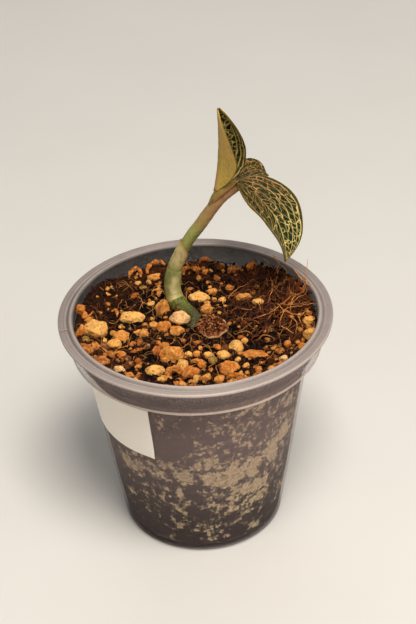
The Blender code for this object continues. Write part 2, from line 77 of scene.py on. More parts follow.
# Soil. The mat is a hummock of roots at the right and back.
SOIL_LEVEL = 72.8
SOIL_EDGE = 39.7
SOIL_RELIEF = 0.9
MAT_CENTRE = (28.5, 19.0)
MAT_SPREAD = (9.0, 13.0)
MAT_HEIGHT = 3.6
SOIL_GRID = 212
SMALL_GRAINS = 230
CRUMBS = (4201, 399)  # over the soil, and against the wall
FIBRES = 800
FACETS = 10  # of a grain
CRUMB_SHADES = ((24, 10, 5), (44, 20, 9), (76, 38, 17), (112, 58, 26), (156, 90, 42), (18, 7, 3))
FIBRE_SHADES = ((120, 66, 30), (164, 104, 52), (206, 146, 78), (74, 38, 18), (140, 76, 34))
ROOTS = 340
STEM_FOOT = (-6, 16)  # crumbs and fibres keep clear of it

# How far the soil is banked up the wall: degrees from +X toward +Y, and millimetres.
BANK = (
    (-180, -160, -130, -90, -50, -20, 0, 24, 42, 49, 57, 65, 72, 87, 115, 125, 134, 142, 150, 165, 180),
    (5.0, 4.0, 2.8, 2.2, 2.6, 3.8, 5.0, 5.8, 4.9, 4.3, 2.8, 1.0, 0.4, 2.0, 2.2, 1.8, 3.2, 5.0, 5.6, 5.2, 5.0),
)

# Stem: x, y, z and radius along its middle. Where it swells: point, how much and how far.
STEM = (
    (-1.8, 2.4, 70.8, 1.8), (-0.6, 5.0, 72.0, 2.3), (-0.8, 8.0, 72.6, 2.5), (-2.6, 11.2, 72.6, 2.7),
    (-4.9, 14.4, 72.9, 2.9), (-6.7, 16.9, 74.8, 2.95), (-7.4, 17.6, 78.4, 2.85), (-7.0, 17.5, 82.9, 2.75),
    (-6.0, 17.3, 87.6, 2.25), (-4.2, 17.1, 91.8, 2.1), (-2.2, 16.9, 96.1, 2.05), (0.1, 16.7, 99.9, 2.1),
    (2.7, 16.5, 103.5, 2.15), (5.2, 16.2, 107.5, 2.15), (8.1, 15.9, 111.6, 1.95), (10.5, 15.7, 114.1, 1.6),
    (12.6, 15.5, 115.9, 1.45), (14.9, 15.2, 117.8, 1.3),
)
STEM_SWELLINGS = ((4.4, 0.2, 0.35), (7.6, 0.12, 0.18), (11.2, 0.06, 0.2), (14.2, 0.04, 0.2))
STEM_SCAR = (-6.2, 12.6, 74.6)  # a root scar low on its front
SHEATH = (8, 11)  # the points of the stem that it lies between
SHEATH_EXTRA = 0.45
SHEATH_MOUTH = (-2.4, 16.9, 95.3)
SHEATH_MOUTH_NORMAL = (0.89, 0.13, 0.43)

# Leaves. Headings are degrees from +X toward +Y, pitches degrees above the horizontal. A stalk is
# where it leaves the stem, where it bends, the share of the blade where it joins, and its radius.
# A grid is points along a blade and across half of it. For the net, long holds the veins that run
# lengthways: the share of the half width, and the strength behind the midrib and before it. Cells
# are millimetres along and across, at the stem end and at the tip, and front widens those before
# the midrib. Gilt is where along the blade the first colour of the veins gives way to the second.
LEAVES = {
    "leaf_upright": {
        "base": (8.5, 14.6, 117.3), "stalk": ((9.4, 15.3, 114.0), (8.9, 15.0, 115.8), 0.0, 0.8),
        "heading": (190.0, 176.0), "pitch": (99.0, 86.5), "bend": 1.0,
        "length": 30.0, "half_width": 11.5, "shape": (1.05, 0.57), "grid": (261, 70),
        "fold": (68.0, 59.0), "curl": 33.0, "twist": (41.0, 67.0), "wave": 0.2,
        "long": ((0.60, 1.0, 1.0), (0.76, 1.0, 1.0), (0.91, 1.0, 1.0)), "line": 0.3, "midrib": 1.0,
        "cells": ((1.8, 2.7), (1.9, 2.9)), "front": 1.0, "slant": 0.5, "bold": 0.22, "heart": 0.7, "margin": 0.65,
        "layer": 3.0, "gilt": (-0.6, -0.3), "veins": ((226, 186, 96), (255, 226, 140)),
        "under": ((228, 194, 96), (226, 180, 94)),
    },
    "leaf_drooping": {
        "base": (14.8, 15.0, 120.2), "stalk": ((13.4, 15.4, 116.6), (15.6, 15.2, 118.1), 0.10, 1.3),
        "heading": (-6.0, -70.0), "pitch": (-32.4, -95.6), "bend": 1.73,
        "length": 33.4, "half_width": 9.8, "shape": (0.86, 1.0), "grid": (301, 84),
        "fold": (15.7, 32.7), "curl": 0.0, "twist": (-30.0, 30.0), "wave": 0.25,
        "long": ((0.24, 0.5, 0.0), (0.47, 0.85, 0.6), (0.68, 0.7, 0.0), (0.87, 0.95, 0.7)), "line": 0.14, "midrib": 1.0,
        "cells": ((2.0, 1.2), (2.3, 2.3)), "front": 2.3, "slant": 0.8, "bold": 0.13, "heart": 0.15, "margin": 0.0,
        "layer": 12.0, "gilt": (0.2, 0.75), "veins": ((206, 152, 96), (246, 218, 136)),
        "under": ((150, 136, 78), (140, 118, 70)),
    },
    "leaf_back": {
        "base": (13.7, 19.1, 117.7), "stalk": ((11.6, 16.2, 115.3), (12.6, 17.8, 116.8), 0.0, 0.85),
        "heading": (23.0, 53.0), "pitch": (30.0, -68.0), "bend": 1.27,
        "length": 17.0, "half_width": 4.4, "shape": (0.6, 0.75), "grid": (141, 40),
        "fold": (17.0, 17.0), "curl": 3.0, "twist": (-11.0, -36.0), "wave": 0.1,
        "long": ((0.35, 0.6, 0.6), (0.7, 0.8, 0.8)), "line": 0.1, "midrib": 0.6,
        "cells": ((2.0, 1.6), (2.0, 1.9)), "front": 1.0, "slant": 0.8, "bold": 0.11, "heart": 0.0, "margin": 0.0,
        "layer": 21.0, "gilt": (1.2, 1.6), "veins": ((206, 152, 96), (206, 152, 96)),
        "under": ((140, 124, 80), (140, 112, 76)),
    },
}
# The upright leaf's clasping base, which lies along the stem: x, y, z and radius.
CLASP = (
    (5.2, 16.3, 108.8, 0.8), (6.8, 15.9, 111.8, 1.15), (8.3, 15.3, 114.8, 1.5), (10.2, 14.9, 117.2, 1.55),
    (12.5, 15.0, 118.9, 1.35), (15.8, 15.3, 120.4, 0.8),
)
BLADE_THICKNESS = 0.5

# Label: degrees from the front toward +X, and heights.
LABEL_ANGLES = (-26.0, -99.0)
LABEL_HEIGHTS = (44.6, 66.4)

# The husk of bark on the soil.
BARK_GRID = 61
BARK_CENTRE = (5.3, -0.7)
BARK_SIZE = (10.4, 8.4)
BARK_LEVEL = 74.9
BARK_TIP = 1.3
BARK_HOLLOW = 1.2
BARK_BELLY = 1.0
BARK_PEAK = 0.9
BARK_THICKNESS = 0.7
BARK_TURN = 5.0

# Grains on the soil, by their place in the photograph: pixel across and down, width and height in
# pixels, turn in degrees, tint.
GRAINS = (
    (96, 331, 23, 20, 10, "cream"), (81, 332, 9, 12, 70, "orange"), (131, 319, 25, 15, 5, "cream"),
    (163, 309, 16, 18, 40, "tan"), (157, 293, 11, 10, -20, "tan"), (151, 304, 9, 6, 10, "cream"),
    (180, 319, 18, 15, -5, "white"), (178, 331, 14, 11, 0, "tan"), (164, 328, 11, 13, 80, "orange"),
    (154, 326, 9, 8, 20, "tan"), (143, 334, 15, 11, 10, "tan"), (122, 339, 15, 14, 60, "tan"),
    (114, 345, 14, 11, 20, "straw"), (119, 355, 15, 10, -20, "orange"), (87, 350, 10, 12, 60, "rust"),
    (94, 346, 9, 8, 10, "orange"), (103, 341, 9, 7, 0, "cream"), (86, 340, 8, 7, 0, "olive"),
    (80, 309, 11, 10, 50, "orange"), (84, 315, 7, 8, 0, "orange"), (88, 320, 9, 6, 20, "tan"),
    (135, 296, 12, 6, -40, "rust"), (138, 283, 7, 5, 0, "cream"), (108, 289, 5, 5, 0, "tan"),
    (106, 294, 8, 4, 10, "tan"), (154, 277, 14, 8, 5, "tan"), (200, 298, 20, 14, -5, "cream"),
    (206, 309, 13, 10, 15, "tan"), (164, 346, 10, 7, 0, "orange"), (157, 351, 9, 9, 0, "rust"),
    (171, 357, 24, 20, 30, "tan"), (182, 366, 12, 14, 50, "cream"), (155, 371, 23, 14, -8, "cream"),
    (165, 379, 14, 8, 0, "straw"), (190, 373, 17, 15, 0, "orange"), (197, 362, 15, 7, 10, "orange"),
    (188, 355, 8, 7, 0, "cream"), (197, 355, 7, 7, 0, "tan"), (208, 355, 8, 7, 0, "cream"),
    (120, 370, 11, 8, 10, "white"), (129, 375, 10, 6, 0, "orange"), (102, 361, 12, 10, 30, "rust"),
    (136, 351, 11, 5, -25, "rust"), (206, 379, 13, 12, 20, "tan"), (145, 325, 6, 5, 0, "orange"),
    (143, 288, 7, 4, 0, "olive"), (212, 292, 11, 7, 10, "tan"), (222, 301, 9, 8, 0, "cream"),
    (230, 288, 9, 6, -20, "orange"), (243, 298, 14, 10, 40, "tan"), (258, 286, 8, 8, -30, "straw"),
    (259, 302, 12, 7, 0, "cream"), (251, 267, 9, 13, 80, "orange"), (233, 270, 11, 10, 20, "rust"),
    (221, 268, 9, 9, 0, "brown"), (217, 279, 9, 8, 0, "rust"), (206, 273, 8, 7, 0, "orange"),
    (253, 293, 6, 5, 0, "orange"), (236, 348, 15, 15, 50, "cream"), (245, 341, 8, 6, -40, "straw"),
    (252, 355, 27, 10, -8, "orange"), (276, 348, 9, 5, 0, "tan"), (288, 345, 7, 8, 40, "orange"),
    (302, 346, 9, 8, 20, "orange"), (309, 320, 11, 9, 20, "straw"), (311, 335, 12, 12, 60, "straw"),
    (284, 359, 9, 9, 30, "white"), (228, 368, 18, 17, 70, "orange"), (246, 366, 6, 7, 0, "straw"),
    (223, 355, 13, 10, -20, "cream"), (209, 356, 9, 8, 0, "tan"), (202, 365, 7, 9, 0, "orange"),
    (238, 360, 7, 6, 0, "cream"), (213, 361, 8, 8, 0, "olive"), (196, 269, 8, 6, 0, "orange"),
    (182, 341, 8, 6, 0, "rust"), (147, 347, 8, 6, 0, "brown"), (197, 343, 7, 5, 0, "rust"),
    (224, 331, 7, 5, 0, "rust"), (271, 330, 7, 5, 10, "brown"), (118, 306, 5, 4, 30, "orange"),
)

# Curled flakes of bark on the soil: width and tint, then pixel across and down and height over it.
ARCHES = (
    (
        1.6, "orange", (147, 274, 0.3), (148, 268, 1.3), (151, 264, 1.9), (156, 262, 2.1), (161, 262, 2.0),
        (165, 265, 1.4),
    ),
    (2.1, "orange", (168, 380, 0.3), (167, 374, 1.4), (172, 370, 2.1), (178, 370, 1.7), (181, 375, 0.5)),
    (1.4, "rust", (183, 276, 0.3), (184, 270, 1.4), (190, 268, 1.8), (196, 271, 1.3), (197, 276, 0.3)),
    (1.0, "orange", (112, 312, 0.4), (115, 310, 1.0), (117, 313, 0.9), (117, 317, 0.3)),
    (0.6, "orange", (85, 317, 0.3), (90, 315, 0.8), (93, 311, 0.9)),
    (1.4, "orange", (129, 278, 0.4), (131, 272, 1.2), (136, 269, 1.7), (140, 271, 1.4), (141, 277, 0.5)),
    (1.6, "orange", (226, 380, 0.5), (232, 376, 1.2), (240, 375, 1.0), (247, 378, 0.3)),
    (1.0, "rust", (268, 369, 0.5), (273, 366, 0.9), (279, 364, 0.6)),
    (0.9, "orange", (252, 376, 0.5), (257, 374, 0.8), (262, 372, 0.5)),
    (1.3, "rust", (199, 262, 0.5), (203, 259, 1.2), (208, 259, 1.1), (212, 261, 0.5)),
    (0.6, "tan", (85, 318, 0.3), (90, 315, 0.8), (94, 311, 0.9)),
)

# Strands of the root mat, the same way, each with its thickness first.
STRANDS = (
    (
        0.5, (253, 319, 0.6), (260, 316, 1.0), (269, 313, 1.2), (277, 308, 1.6), (280, 305, 1.7), (287, 299, 1.6),
        (296, 294, 1.2), (302, 292, 0.8), (304, 283, 0.8),
    ),
    (0.45, (294, 269, 0.6), (300, 277, 0.8), (304, 283, 0.8), (310, 286, 0.6), (312, 290, 0.4)),
    (0.35, (279, 303, 1.0), (288, 305, 1.6), (300, 304, 1.2), (316, 303, 0.6)),
    (0.4, (285, 309, 1.2), (292, 313, 1.4), (300, 315, 1.0), (304, 312, 0.8), (310, 308, 0.4)),
    (0.35, (296, 295, 1.0), (292, 301, 1.4), (288, 305, 1.4), (283, 303, 1.0)),
    (0.4, (302, 313, 0.8), (307, 317, 0.8), (312, 322, 0.4)),
    (0.35, (271, 278, 0.6), (272, 285, 1.2), (271, 292, 1.3), (269, 304, 0.6)),
    (0.35, (277, 274, 0.5), (278, 264, 0.8)),
    (0.45, (303, 293, 0.8), (306, 284, 1.2), (312, 288, 0.8)),
    (0.4, (306, 283, 1.2), (306, 272, 1.5), (308, 260, 1.5)),
    (0.45, (294, 269, 0.8), (300, 276, 1.2), (305, 281, 1.2), (311, 287, 0.6)),
    (0.45, (273, 256, 0.6), (279, 263, 1.0), (285, 268, 1.2), (287, 274, 0.8)),
    (0.35, (264, 259, 0.6), (269, 264, 1.0), (274, 269, 0.6)),
    (0.5, (273, 324, 0.3), (277, 316, 1.4), (284, 310, 1.8), (298, 306, 1.8), (317, 303, 1.0)),
    (0.45, (278, 304, 1.4), (285, 311, 1.9), (295, 314, 1.8), (302, 315, 1.4), (305, 311, 0.8)),
    (0.4, (284, 310, 1.8), (281, 318, 1.5), (279, 327, 0.6)),
    (0.45, (281, 326, 0.6), (288, 330, 1.0), (294, 333, 0.5)),
    (0.4, (288, 317, 1.2), (294, 319, 1.4), (297, 325, 0.8), (296, 334, 0.3)),
    (0.35, (297, 317, 1.0), (301, 322, 1.0), (303, 328, 0.4)),
    (0.4, (222, 300, 0.6), (232, 296, 0.9), (240, 292, 0.9), (249, 290, 0.5)),
    (0.45, (228, 298, 0.6), (236, 290, 1.1), (243, 286, 1.0), (252, 282, 0.5)),
    (0.4, (256, 340, 0.3), (262, 336, 0.9), (270, 336, 0.8), (275, 340, 0.3)),
    (0.4, (273, 282, 0.8), (272, 290, 1.6), (269, 298, 1.6), (266, 306, 0.8)),
    (0.35, (278, 276, 0.6), (275, 284, 1.3), (273, 294, 1.3)),
    (0.4, (290, 312, 1.4), (292, 304, 2.0), (297, 298, 1.8), (303, 296, 1.0)),
    (0.35, (200, 344, 0.4), (208, 346, 0.8), (216, 348, 0.4)),
    (0.35, (163, 350, 0.5), (172, 350, 0.9), (182, 347, 0.9), (189, 344, 0.4)),
    (0.3, (171, 345, 0.4), (174, 340, 0.9), (176, 336, 0.4)),
    (0.35, (96, 342, 0.5), (110, 353, 1.1), (118, 349, 1.0), (127, 346, 0.4)),
    (0.3, (127, 347, 0.4), (129, 341, 1.2), (131, 336, 0.5)),
    (0.3, (118, 309, 0.4), (120, 303, 1.0), (125, 299, 1.0), (128, 308, 0.4)),
    (0.3, (139, 296, 0.4), (142, 301, 1.0), (143, 308, 0.4)),
    (0.3, (216, 366, 0.4), (218, 374, 0.8), (219, 382, 0.3)),
    (0.3, (207, 372, 0.4), (211, 366, 1.0), (215, 363, 0.5)),
    (0.28, (183, 306, 0.3), (186, 300, 1.2), (187, 292, 1.4), (185, 287, 0.7)),
    (0.38, (231, 322, 0.4), (239, 318, 0.9), (246, 322, 0.9), (252, 329, 0.4)),
    (0.38, (232, 310, 0.4), (240, 308, 1.0), (249, 310, 0.9), (257, 306, 0.4)),
)

# A fibre that lies across the rim.
FIBRE_ON_RIM = ((59, 329), (62, 331), (66, 329), (70, 331))

TINTS = {
    "white": (255, 204, 142), "cream": (252, 190, 104), "straw": (238, 172, 86), "tan": (228, 150, 68),
    "orange": (212, 126, 50), "rust": (180, 98, 38), "brown": (112, 58, 26), "olive": (140, 108, 52),
}

# Tan dust caught between the soil and the wall, by its place in the photograph: pixel across and
# down, both half sizes in pixels, and how dense it is.
DUST = (
    (128, 464, 9, 8, 1.0), (143, 467, 10, 7, 0.9), (156, 474, 8, 6, 0.8), (167, 469, 8, 5, 0.8),
    (183, 478, 9, 10, 1.0), (178, 494, 4, 9, 0.9), (194, 467, 6, 6, 0.7), (201, 456, 11, 4, 0.7),
    (212, 449, 10, 4, 0.7), (209, 463, 8, 6, 0.7), (214, 481, 12, 10, 1.1), (234, 478, 14, 12, 1.2),
    (254, 469, 9, 11, 1.0), (258, 485, 12, 7, 1.2), (243, 492, 14, 5, 1.0), (212, 500, 6, 4, 0.8),
    (187, 505, 4, 3, 0.9), (178, 510, 4, 3, 0.9), (185, 515, 3, 2, 0.9), (273, 450, 7, 13, 1.1),
    (286, 430, 7, 12, 1.1), (290, 401, 6, 7, 1.0), (276, 414, 8, 6, 0.6), (251, 436, 6, 3, 0.8),
    (243, 414, 5, 3, 0.8), (234, 438, 3, 8, 0.7), (222, 427, 4, 3, 0.6), (199, 447, 5, 3, 0.6),
    (161, 427, 6, 6, 0.55), (254, 501, 8, 7, 0.9), (265, 494, 5, 12, 0.8), (227, 514, 9, 4, 0.85),
    (249, 512, 5, 5, 0.8), (256, 525, 6, 5, 0.9), (220, 538, 11, 3, 0.7), (170, 538, 5, 3, 0.7),
    (178, 525, 7, 3, 0.5), (145, 486, 4, 3, 0.9), (130, 492, 3, 3, 0.7), (138, 475, 5, 4, 0.8),
    (136, 392, 4, 4, 0.8), (146, 394, 4, 4, 0.8), (262, 404, 14, 8, 0.6), (240, 455, 50, 40, 0.4),
    (225, 390, 60, 8, 0.3), (150, 470, 30, 14, 0.62), (215, 472, 40, 16, 0.62), (235, 500, 40, 22, 0.55),
    (245, 425, 40, 22, 0.42), (200, 528, 50, 14, 0.42), (165, 500, 40, 25, 0.36), (282, 440, 14, 45, 0.6),
    (130, 450, 14, 6, 0.6),
)
# The same on the sides that the photograph hides: angle from the front toward +X in degrees, height
# in millimetres, and both half sizes.
HIDDEN_DUST = (
    (88, 42, 22, 14, 0.8), (112, 22, 12, 6, 0.7), (150, 32, 26, 9, 0.8), (-150, 46, 26, 10, 0.8),
    (-100, 30, 16, 8, 0.7), (180, 55, 50, 12, 0.5), (-125, 18, 12, 6, 0.6), (70, 15, 14, 5, 0.6),
)


def colour(red, green, blue):
    """An sRGB colour in bytes as linear light."""
    share = np.array((red, green, blue)) / 255
    return np.where(share <= 0.04, share / 12.92, ((share + 0.055) / 1.055) ** 2.4)


def tint(name):
    return colour(*TINTS[name])


def ramp(value, low, high):
    """0 below low, 1 above high, and smooth between."""
    share = np.clip((value - low) / (high - low), 0, 1)
    return share * share * (3 - 2 * share)


def bell(value, middle, width):
    """1 at the middle, falling off smoothly over a width each way."""
    return np.exp(-(((value - middle) / width) ** 2))


def blend(first, second, share):
    share = np.asarray(share)[..., None]
    return first * (1 - share) + second * share


def coats(like, base, *layers):
    """A colour for each number of like: a base, and over it layers of a colour and its share.

    A tuple is a colour in bytes, and an array is linear light.
    """
    shades = np.zeros((*np.shape(like), 3)) + (colour(*base) if isinstance(base, tuple) else base)
    for shade, share in layers:
        shades = blend(shades, colour(*shade) if isinstance(shade, tuple) else shade, share)
    return shades


def rough(points, size, seed=0.0):
    """Smooth noise from -1 to 1 at each point, with lumps of about the given size."""
    offset = Vector((seed * 3.1, seed * 1.7, seed * 2.3))
    return np.array([noise.noise(Vector(p) / size + offset) for p in points])


# Camera and places in the photograph


def camera_axes():
    """Directions of the camera: right, up and back."""
    down, roll = math.radians(CAMERA_DOWN), math.radians(CAMERA_ROLL)
    back = Vector((0.0, -math.cos(down), math.sin(down)))
    level = Vector((1.0, 0.0, 0.0))
    upright = Vector((0.0, math.sin(down), math.cos(down)))
    right = level * math.cos(roll) + upright * math.sin(roll)
    up = upright * math.cos(roll) - level * math.sin(roll)
    return right, up, back


def at_pixel(across, down, z):
    """The point at height z that the photograph shows at a pixel."""
    focal = LENS / SENSOR * PICTURE[1]
    right, up, back = camera_axes()
    ray = right * (across - PICTURE[0] / 2) / focal - up * (down - PICTURE[1] / 2) / focal - back
    place = Vector(CAMERA_PLACE)
    return place + ray * ((z - place.z) / ray.z)


def add_camera():
    data = bpy.data.cameras.new("photo_camera")
    data.lens, data.sensor_width, data.sensor_fit = LENS, SENSOR, "AUTO"
    data.clip_start, data.clip_end = 0.05, 10.0
    camera = bpy.data.objects.new("photo_camera", data)
    right, up, back = camera_axes()
    turn = Matrix((right, up, back)).transposed().to_4x4()
    camera.matrix_world = Matrix.Translation(Vector(CAMERA_PLACE) * MM) @ turn
    bpy.context.scene.collection.objects.link(camera)
    bpy.context.scene.camera = camera


# Materials


class Look:
    """A node material, with short calls for the nodes that it uses."""

    def __init__(self, name, specular, **constants):
        self.material = bpy.data.materials.new(name)
        self.material.use_nodes = True
        self.nodes = self.material.node_tree.nodes
        self.links = self.material.node_tree.links
        self.shader = self.nodes["Principled BSDF"]
        self.shader.inputs["Specular IOR Level"].default_value = specular
        for socket, value in constants.items():
            self.shader.inputs[socket.replace("_", " ")].default_value = value
        where = self.node("ShaderNodeTexCoord").outputs["Object"]
        self.place = self.node("ShaderNodeVectorMath", {0: where, "Scale": 1 / MM}, operation="SCALE").outputs[0]

    def node(self, kind, inputs=None, **settings):
        made = self.nodes.new(kind)
        for name, value in settings.items():
            setattr(made, name, value)
        self.feed(made, inputs or {})
        return made

    def feed(self, node, inputs):
        """Links and values for the inputs of a node. A tuple for a colour is in bytes."""
        for key, value in inputs.items():
            socket = node.inputs[key]
            if isinstance(value, bpy.types.NodeSocket):
                self.links.new(value, socket)
            elif socket.type == "RGBA":
                socket.default_value = (*colour(*value), 1.0)
            else:
                socket.default_value = value

    def painted(self):
        return self.node("ShaderNodeAttribute", attribute_name="tint").outputs["Color"]

    def value(self, name):
        return self.node("ShaderNodeAttribute", attribute_name=name).outputs["Fac"]

    def noise(self, size, detail=3.0, roughness=0.55, vector=None, distortion=0.0):
        inputs = {"Scale": 1 / size, "Detail": detail, "Roughness": roughness, "Distortion": distortion}
        return self.node("ShaderNodeTexNoise", {"Vector": vector or self.place, **inputs}).outputs["Fac"]

    def cells(self, size):
        inputs = {"Vector": self.place, "Scale": 1 / size}
        return self.node("ShaderNodeTexVoronoi", inputs, feature="F1").outputs["Distance"]

    def math(self, operation, first, second):
        return self.node("ShaderNodeMath", {0: first, 1: second}, operation=operation).outputs[0]

    def span(self, value, low, high, to_low=0.0, to_high=1.0):
        inputs = {"Value": value, "From Min": low, "From Max": high, "To Min": to_low, "To Max": to_high}
        return self.node("ShaderNodeMapRange", inputs, interpolation_type="SMOOTHSTEP").outputs["Result"]

    def patches(self, size, detail, roughness, *limits, **more):
        """Noise, spread between limits as span does."""
        return self.span(self.noise(size, detail, roughness, **more), *limits)

    def mix(self, share, first, second):
        return self.node("ShaderNodeMix", {0: share, 6: first, 7: second}, data_type="RGBA").outputs[2]

    def darkened(self, height, low, high, depth):
        """The painted colour, darker by depth where height is low."""
        return self.mix(self.span(height, low, high), self.mix(depth, self.painted(), (0, 0, 0)), self.painted())

    def stretched(self, x, y, z):
        return self.node("ShaderNodeVectorMath", {0: self.place, 1: (x, y, z)}, operation="MULTIPLY").outputs[0]

    def bump(self, height, strength, distance, below=None):
        inputs = {"Height": height, "Strength": strength, "Distance": distance * MM}
        return self.node("ShaderNodeBump", {**inputs, "Normal": below} if below else inputs).outputs["Normal"]

    def finish(self, shade, **inputs):
        self.feed(self.shader, {"Base Color": shade, **inputs})
        return self.material


def plastic_look():
    look = Look("frosted_plastic", 0.35, IOR=1.46)
    scuffs = look.noise(0.8, 5.0, 0.65)
    thin = look.stretched(1.6, 1.6, 0.12)
    scratches = look.patches(1.0, 3.0, 0.6, 0.62, 0.72, vector=thin, distortion=0.6)
    milky = look.math("MAXIMUM", look.patches(7.0, 4.0, 0.6, 0.35, 0.75, 0.0, 0.7), look.span(scuffs, 0.5, 0.75))
    paler = look.mix(0.1, look.painted(), (214, 198, 190))
    solid = look.math("ADD", look.value("solid"), look.span(scuffs, 0.38, 0.75, -0.05, 0.06))
    return look.finish(
        look.mix(milky, look.painted(), paler),
        Alpha=look.math("ADD", solid, look.math("MULTIPLY", scratches, 0.05)),
        Roughness=look.span(scuffs, 0.3, 0.75, 0.34, 0.52),
        Normal=look.bump(scratches, 0.1, 0.05, look.bump(scuffs, 0.15, 0.1)),
    )


def soil_wall_look():
    look = Look("soil_against_wall", 0.1)
    ragged = look.noise(1.0, 4.0, 0.6)
    level = look.math("MULTIPLY", look.value("dust"), 0.42)
    for part, share in ((look.noise(2.8, 3.0, 0.5), 0.8), (ragged, 0.65), (look.cells(1.7), -0.22)):
        level = look.math("ADD", level, look.math("MULTIPLY", part, share))
    specks = look.patches(0.8, 2.0, 0.5, 0.70, 0.75, 0.0, 0.8)
    film = look.math("MAXIMUM", look.span(level, 0.74, 0.88), specks)
    tan = look.mix(look.patches(0.5, 4.0, 0.7, 0.35, 0.65), (214, 180, 128), (255, 242, 198))
    tan = look.mix(look.patches(1.2, 4.0, 0.65, 0.46, 0.62, 0.0, 0.8), tan, (160, 130, 92))
    peat = look.mix(look.patches(1.3, 5.0, 0.65, 0.35, 0.75), (7, 4, 6), (42, 29, 29))
    shade = look.mix(look.math("MULTIPLY", film, 0.36), peat, tan)
    shade = look.mix(look.span(level, 0.84, 0.925), shade, tan)
    return look.finish(shade, Roughness=0.9, Normal=look.bump(ragged, 0.3, 0.3))


def peat_look():
    look = Look("peat", 0.12)
    fine = look.noise(0.45, 5.0, 0.65)
    lumps = look.bump(look.noise(1.7, 4.0, 0.6, distortion=0.8), 0.9, 0.8)
    shade = look.darkened(fine, 0.3, 0.75, 0.75)
    return look.finish(shade, Roughness=0.92, Normal=look.bump(fine, 0.8, 0.25, lumps))


def fibre_look(name, specular, size, roughness, depth, gloss, strength, distance):
    """A matt look with fine noise, for the litter and the roots."""
    look = Look(name, specular)
    fine = look.noise(size, 4.0, roughness)
    shade = look.darkened(fine, 0.35, 0.7, depth)
    return look.finish(shade, Roughness=gloss, Normal=look.bump(fine, strength, distance))


def grain_look():
    look = Look("porous_grains", 0.15)
    pits = look.span(look.cells(0.6), 0.06, 0.26)
    fine = look.noise(0.3, 4.0, 0.75)
    skin = look.patches(1.5, 5.0, 0.7, 0.54, 0.64, 0.0, 0.6, distortion=0.6)
    # bright: patches painted lighter, as highlights.
    bright = look.patches(1.1, 4.0, 0.7, 0.5, 0.68, 0.0, 0.6)
    pitted = look.math("MULTIPLY", look.span(pits, 0.0, 1.0, 0.55, 0.0), look.patches(1.2, 2.0, 0.5, 0.5, 0.6))
    shade = look.mix(skin, look.painted(), look.mix(0.5, look.painted(), (140, 66, 20)))
    shade = look.mix(bright, shade, look.mix(0.6, look.painted(), (255, 212, 140)))
    # Darker where the fine bump dips: painted shade in the crevices.
    shade = look.mix(look.span(fine, 0.28, 0.46, 0.5, 0.0), shade, (120, 58, 18))
    shade = look.mix(pitted, shade, (84, 36, 10))
    return look.finish(shade, Roughness=0.85, Normal=look.bump(fine, 0.9, 0.25, look.bump(pits, 0.35, 0.25)))


def stem_look():
    look = Look("stem_skin", 0.3, Subsurface_Weight=0.08, Subsurface_Scale=0.6 * MM)
    look.shader.inputs["Subsurface Radius"].default_value = (1.0, 0.9, 0.4)
    streaks = look.noise(0.5, 3.0, 0.55, look.stretched(1.0, 1.0, 0.16))
    dots = look.span(look.cells(0.9), 0.05, 0.2)
    pale = look.mix(0.4, look.painted(), (226, 208, 130))
    shade = look.mix(look.span(streaks, 0.3, 0.7, 0.0, 0.35), look.painted(), pale)
    shade = look.mix(look.span(dots, 0.0, 1.0, 0.16, 0.0), shade, (236, 224, 160))
    gloss = look.span(streaks, 0.2, 0.8, 0.5, 0.65)
    return look.finish(shade, Roughness=gloss, Normal=look.bump(streaks, 0.35, 0.15))


def leaf_look():
    look = Look("netted_leaf", 0.08)
    fine = look.noise(0.28, 3.0, 0.6)
    shade = look.mix(look.span(fine, 0.35, 0.7, 0.0, 0.08), look.painted(), (120, 120, 60))
    gloss = look.span(fine, 0.3, 0.7, 0.42, 0.6)
    return look.finish(shade, Roughness=gloss, Normal=look.bump(look.cells(0.32), 0.25, 0.06))


def underside_look():
    look = Look("leaf_underside", 0.12)
    fine = look.noise(0.35, 4.0, 0.6)
    shade = look.mix(look.span(fine, 0.35, 0.7, 0.0, 0.2), look.painted(), (206, 178, 104))
    shade = look.mix(look.patches(1.6, 3.0, 0.6, 0.45, 0.7, 0.0, 0.3), shade, (140, 112, 50))
    return look.finish(shade, Roughness=0.65, Normal=look.bump(fine, 0.3, 0.08))


def paper_look():
    look = Look("label_paper", 0.35)
    fibres = look.noise(0.4, 4.0, 0.6)
    shade = look.mix(look.span(fibres, 0.3, 0.7), (255, 242, 228), (255, 250, 240))
    return look.finish(shade, Roughness=0.55, Normal=look.bump(fibres, 0.15, 0.05))


def bark_look():
    look = Look("bark", 0.1)
    ridges = look.noise(0.8, 5.0, 0.65, look.stretched(1.0, 0.4, 1.0), 0.8)
    fine = look.noise(0.3, 4.0, 0.7)
    shade = look.darkened(ridges, 0.35, 0.65, 0.6)
    return look.finish(shade, Roughness=0.75, Normal=look.bump(fine, 0.5, 0.15, look.bump(ridges, 0.8, 0.4)))


def floor_look():
    look = Look("floor_paint", 0.2)
    return look.finish(look.mix(look.noise(60.0, 2.0), (222, 219, 214), (228, 225, 220)), Roughness=0.85)


# Meshes


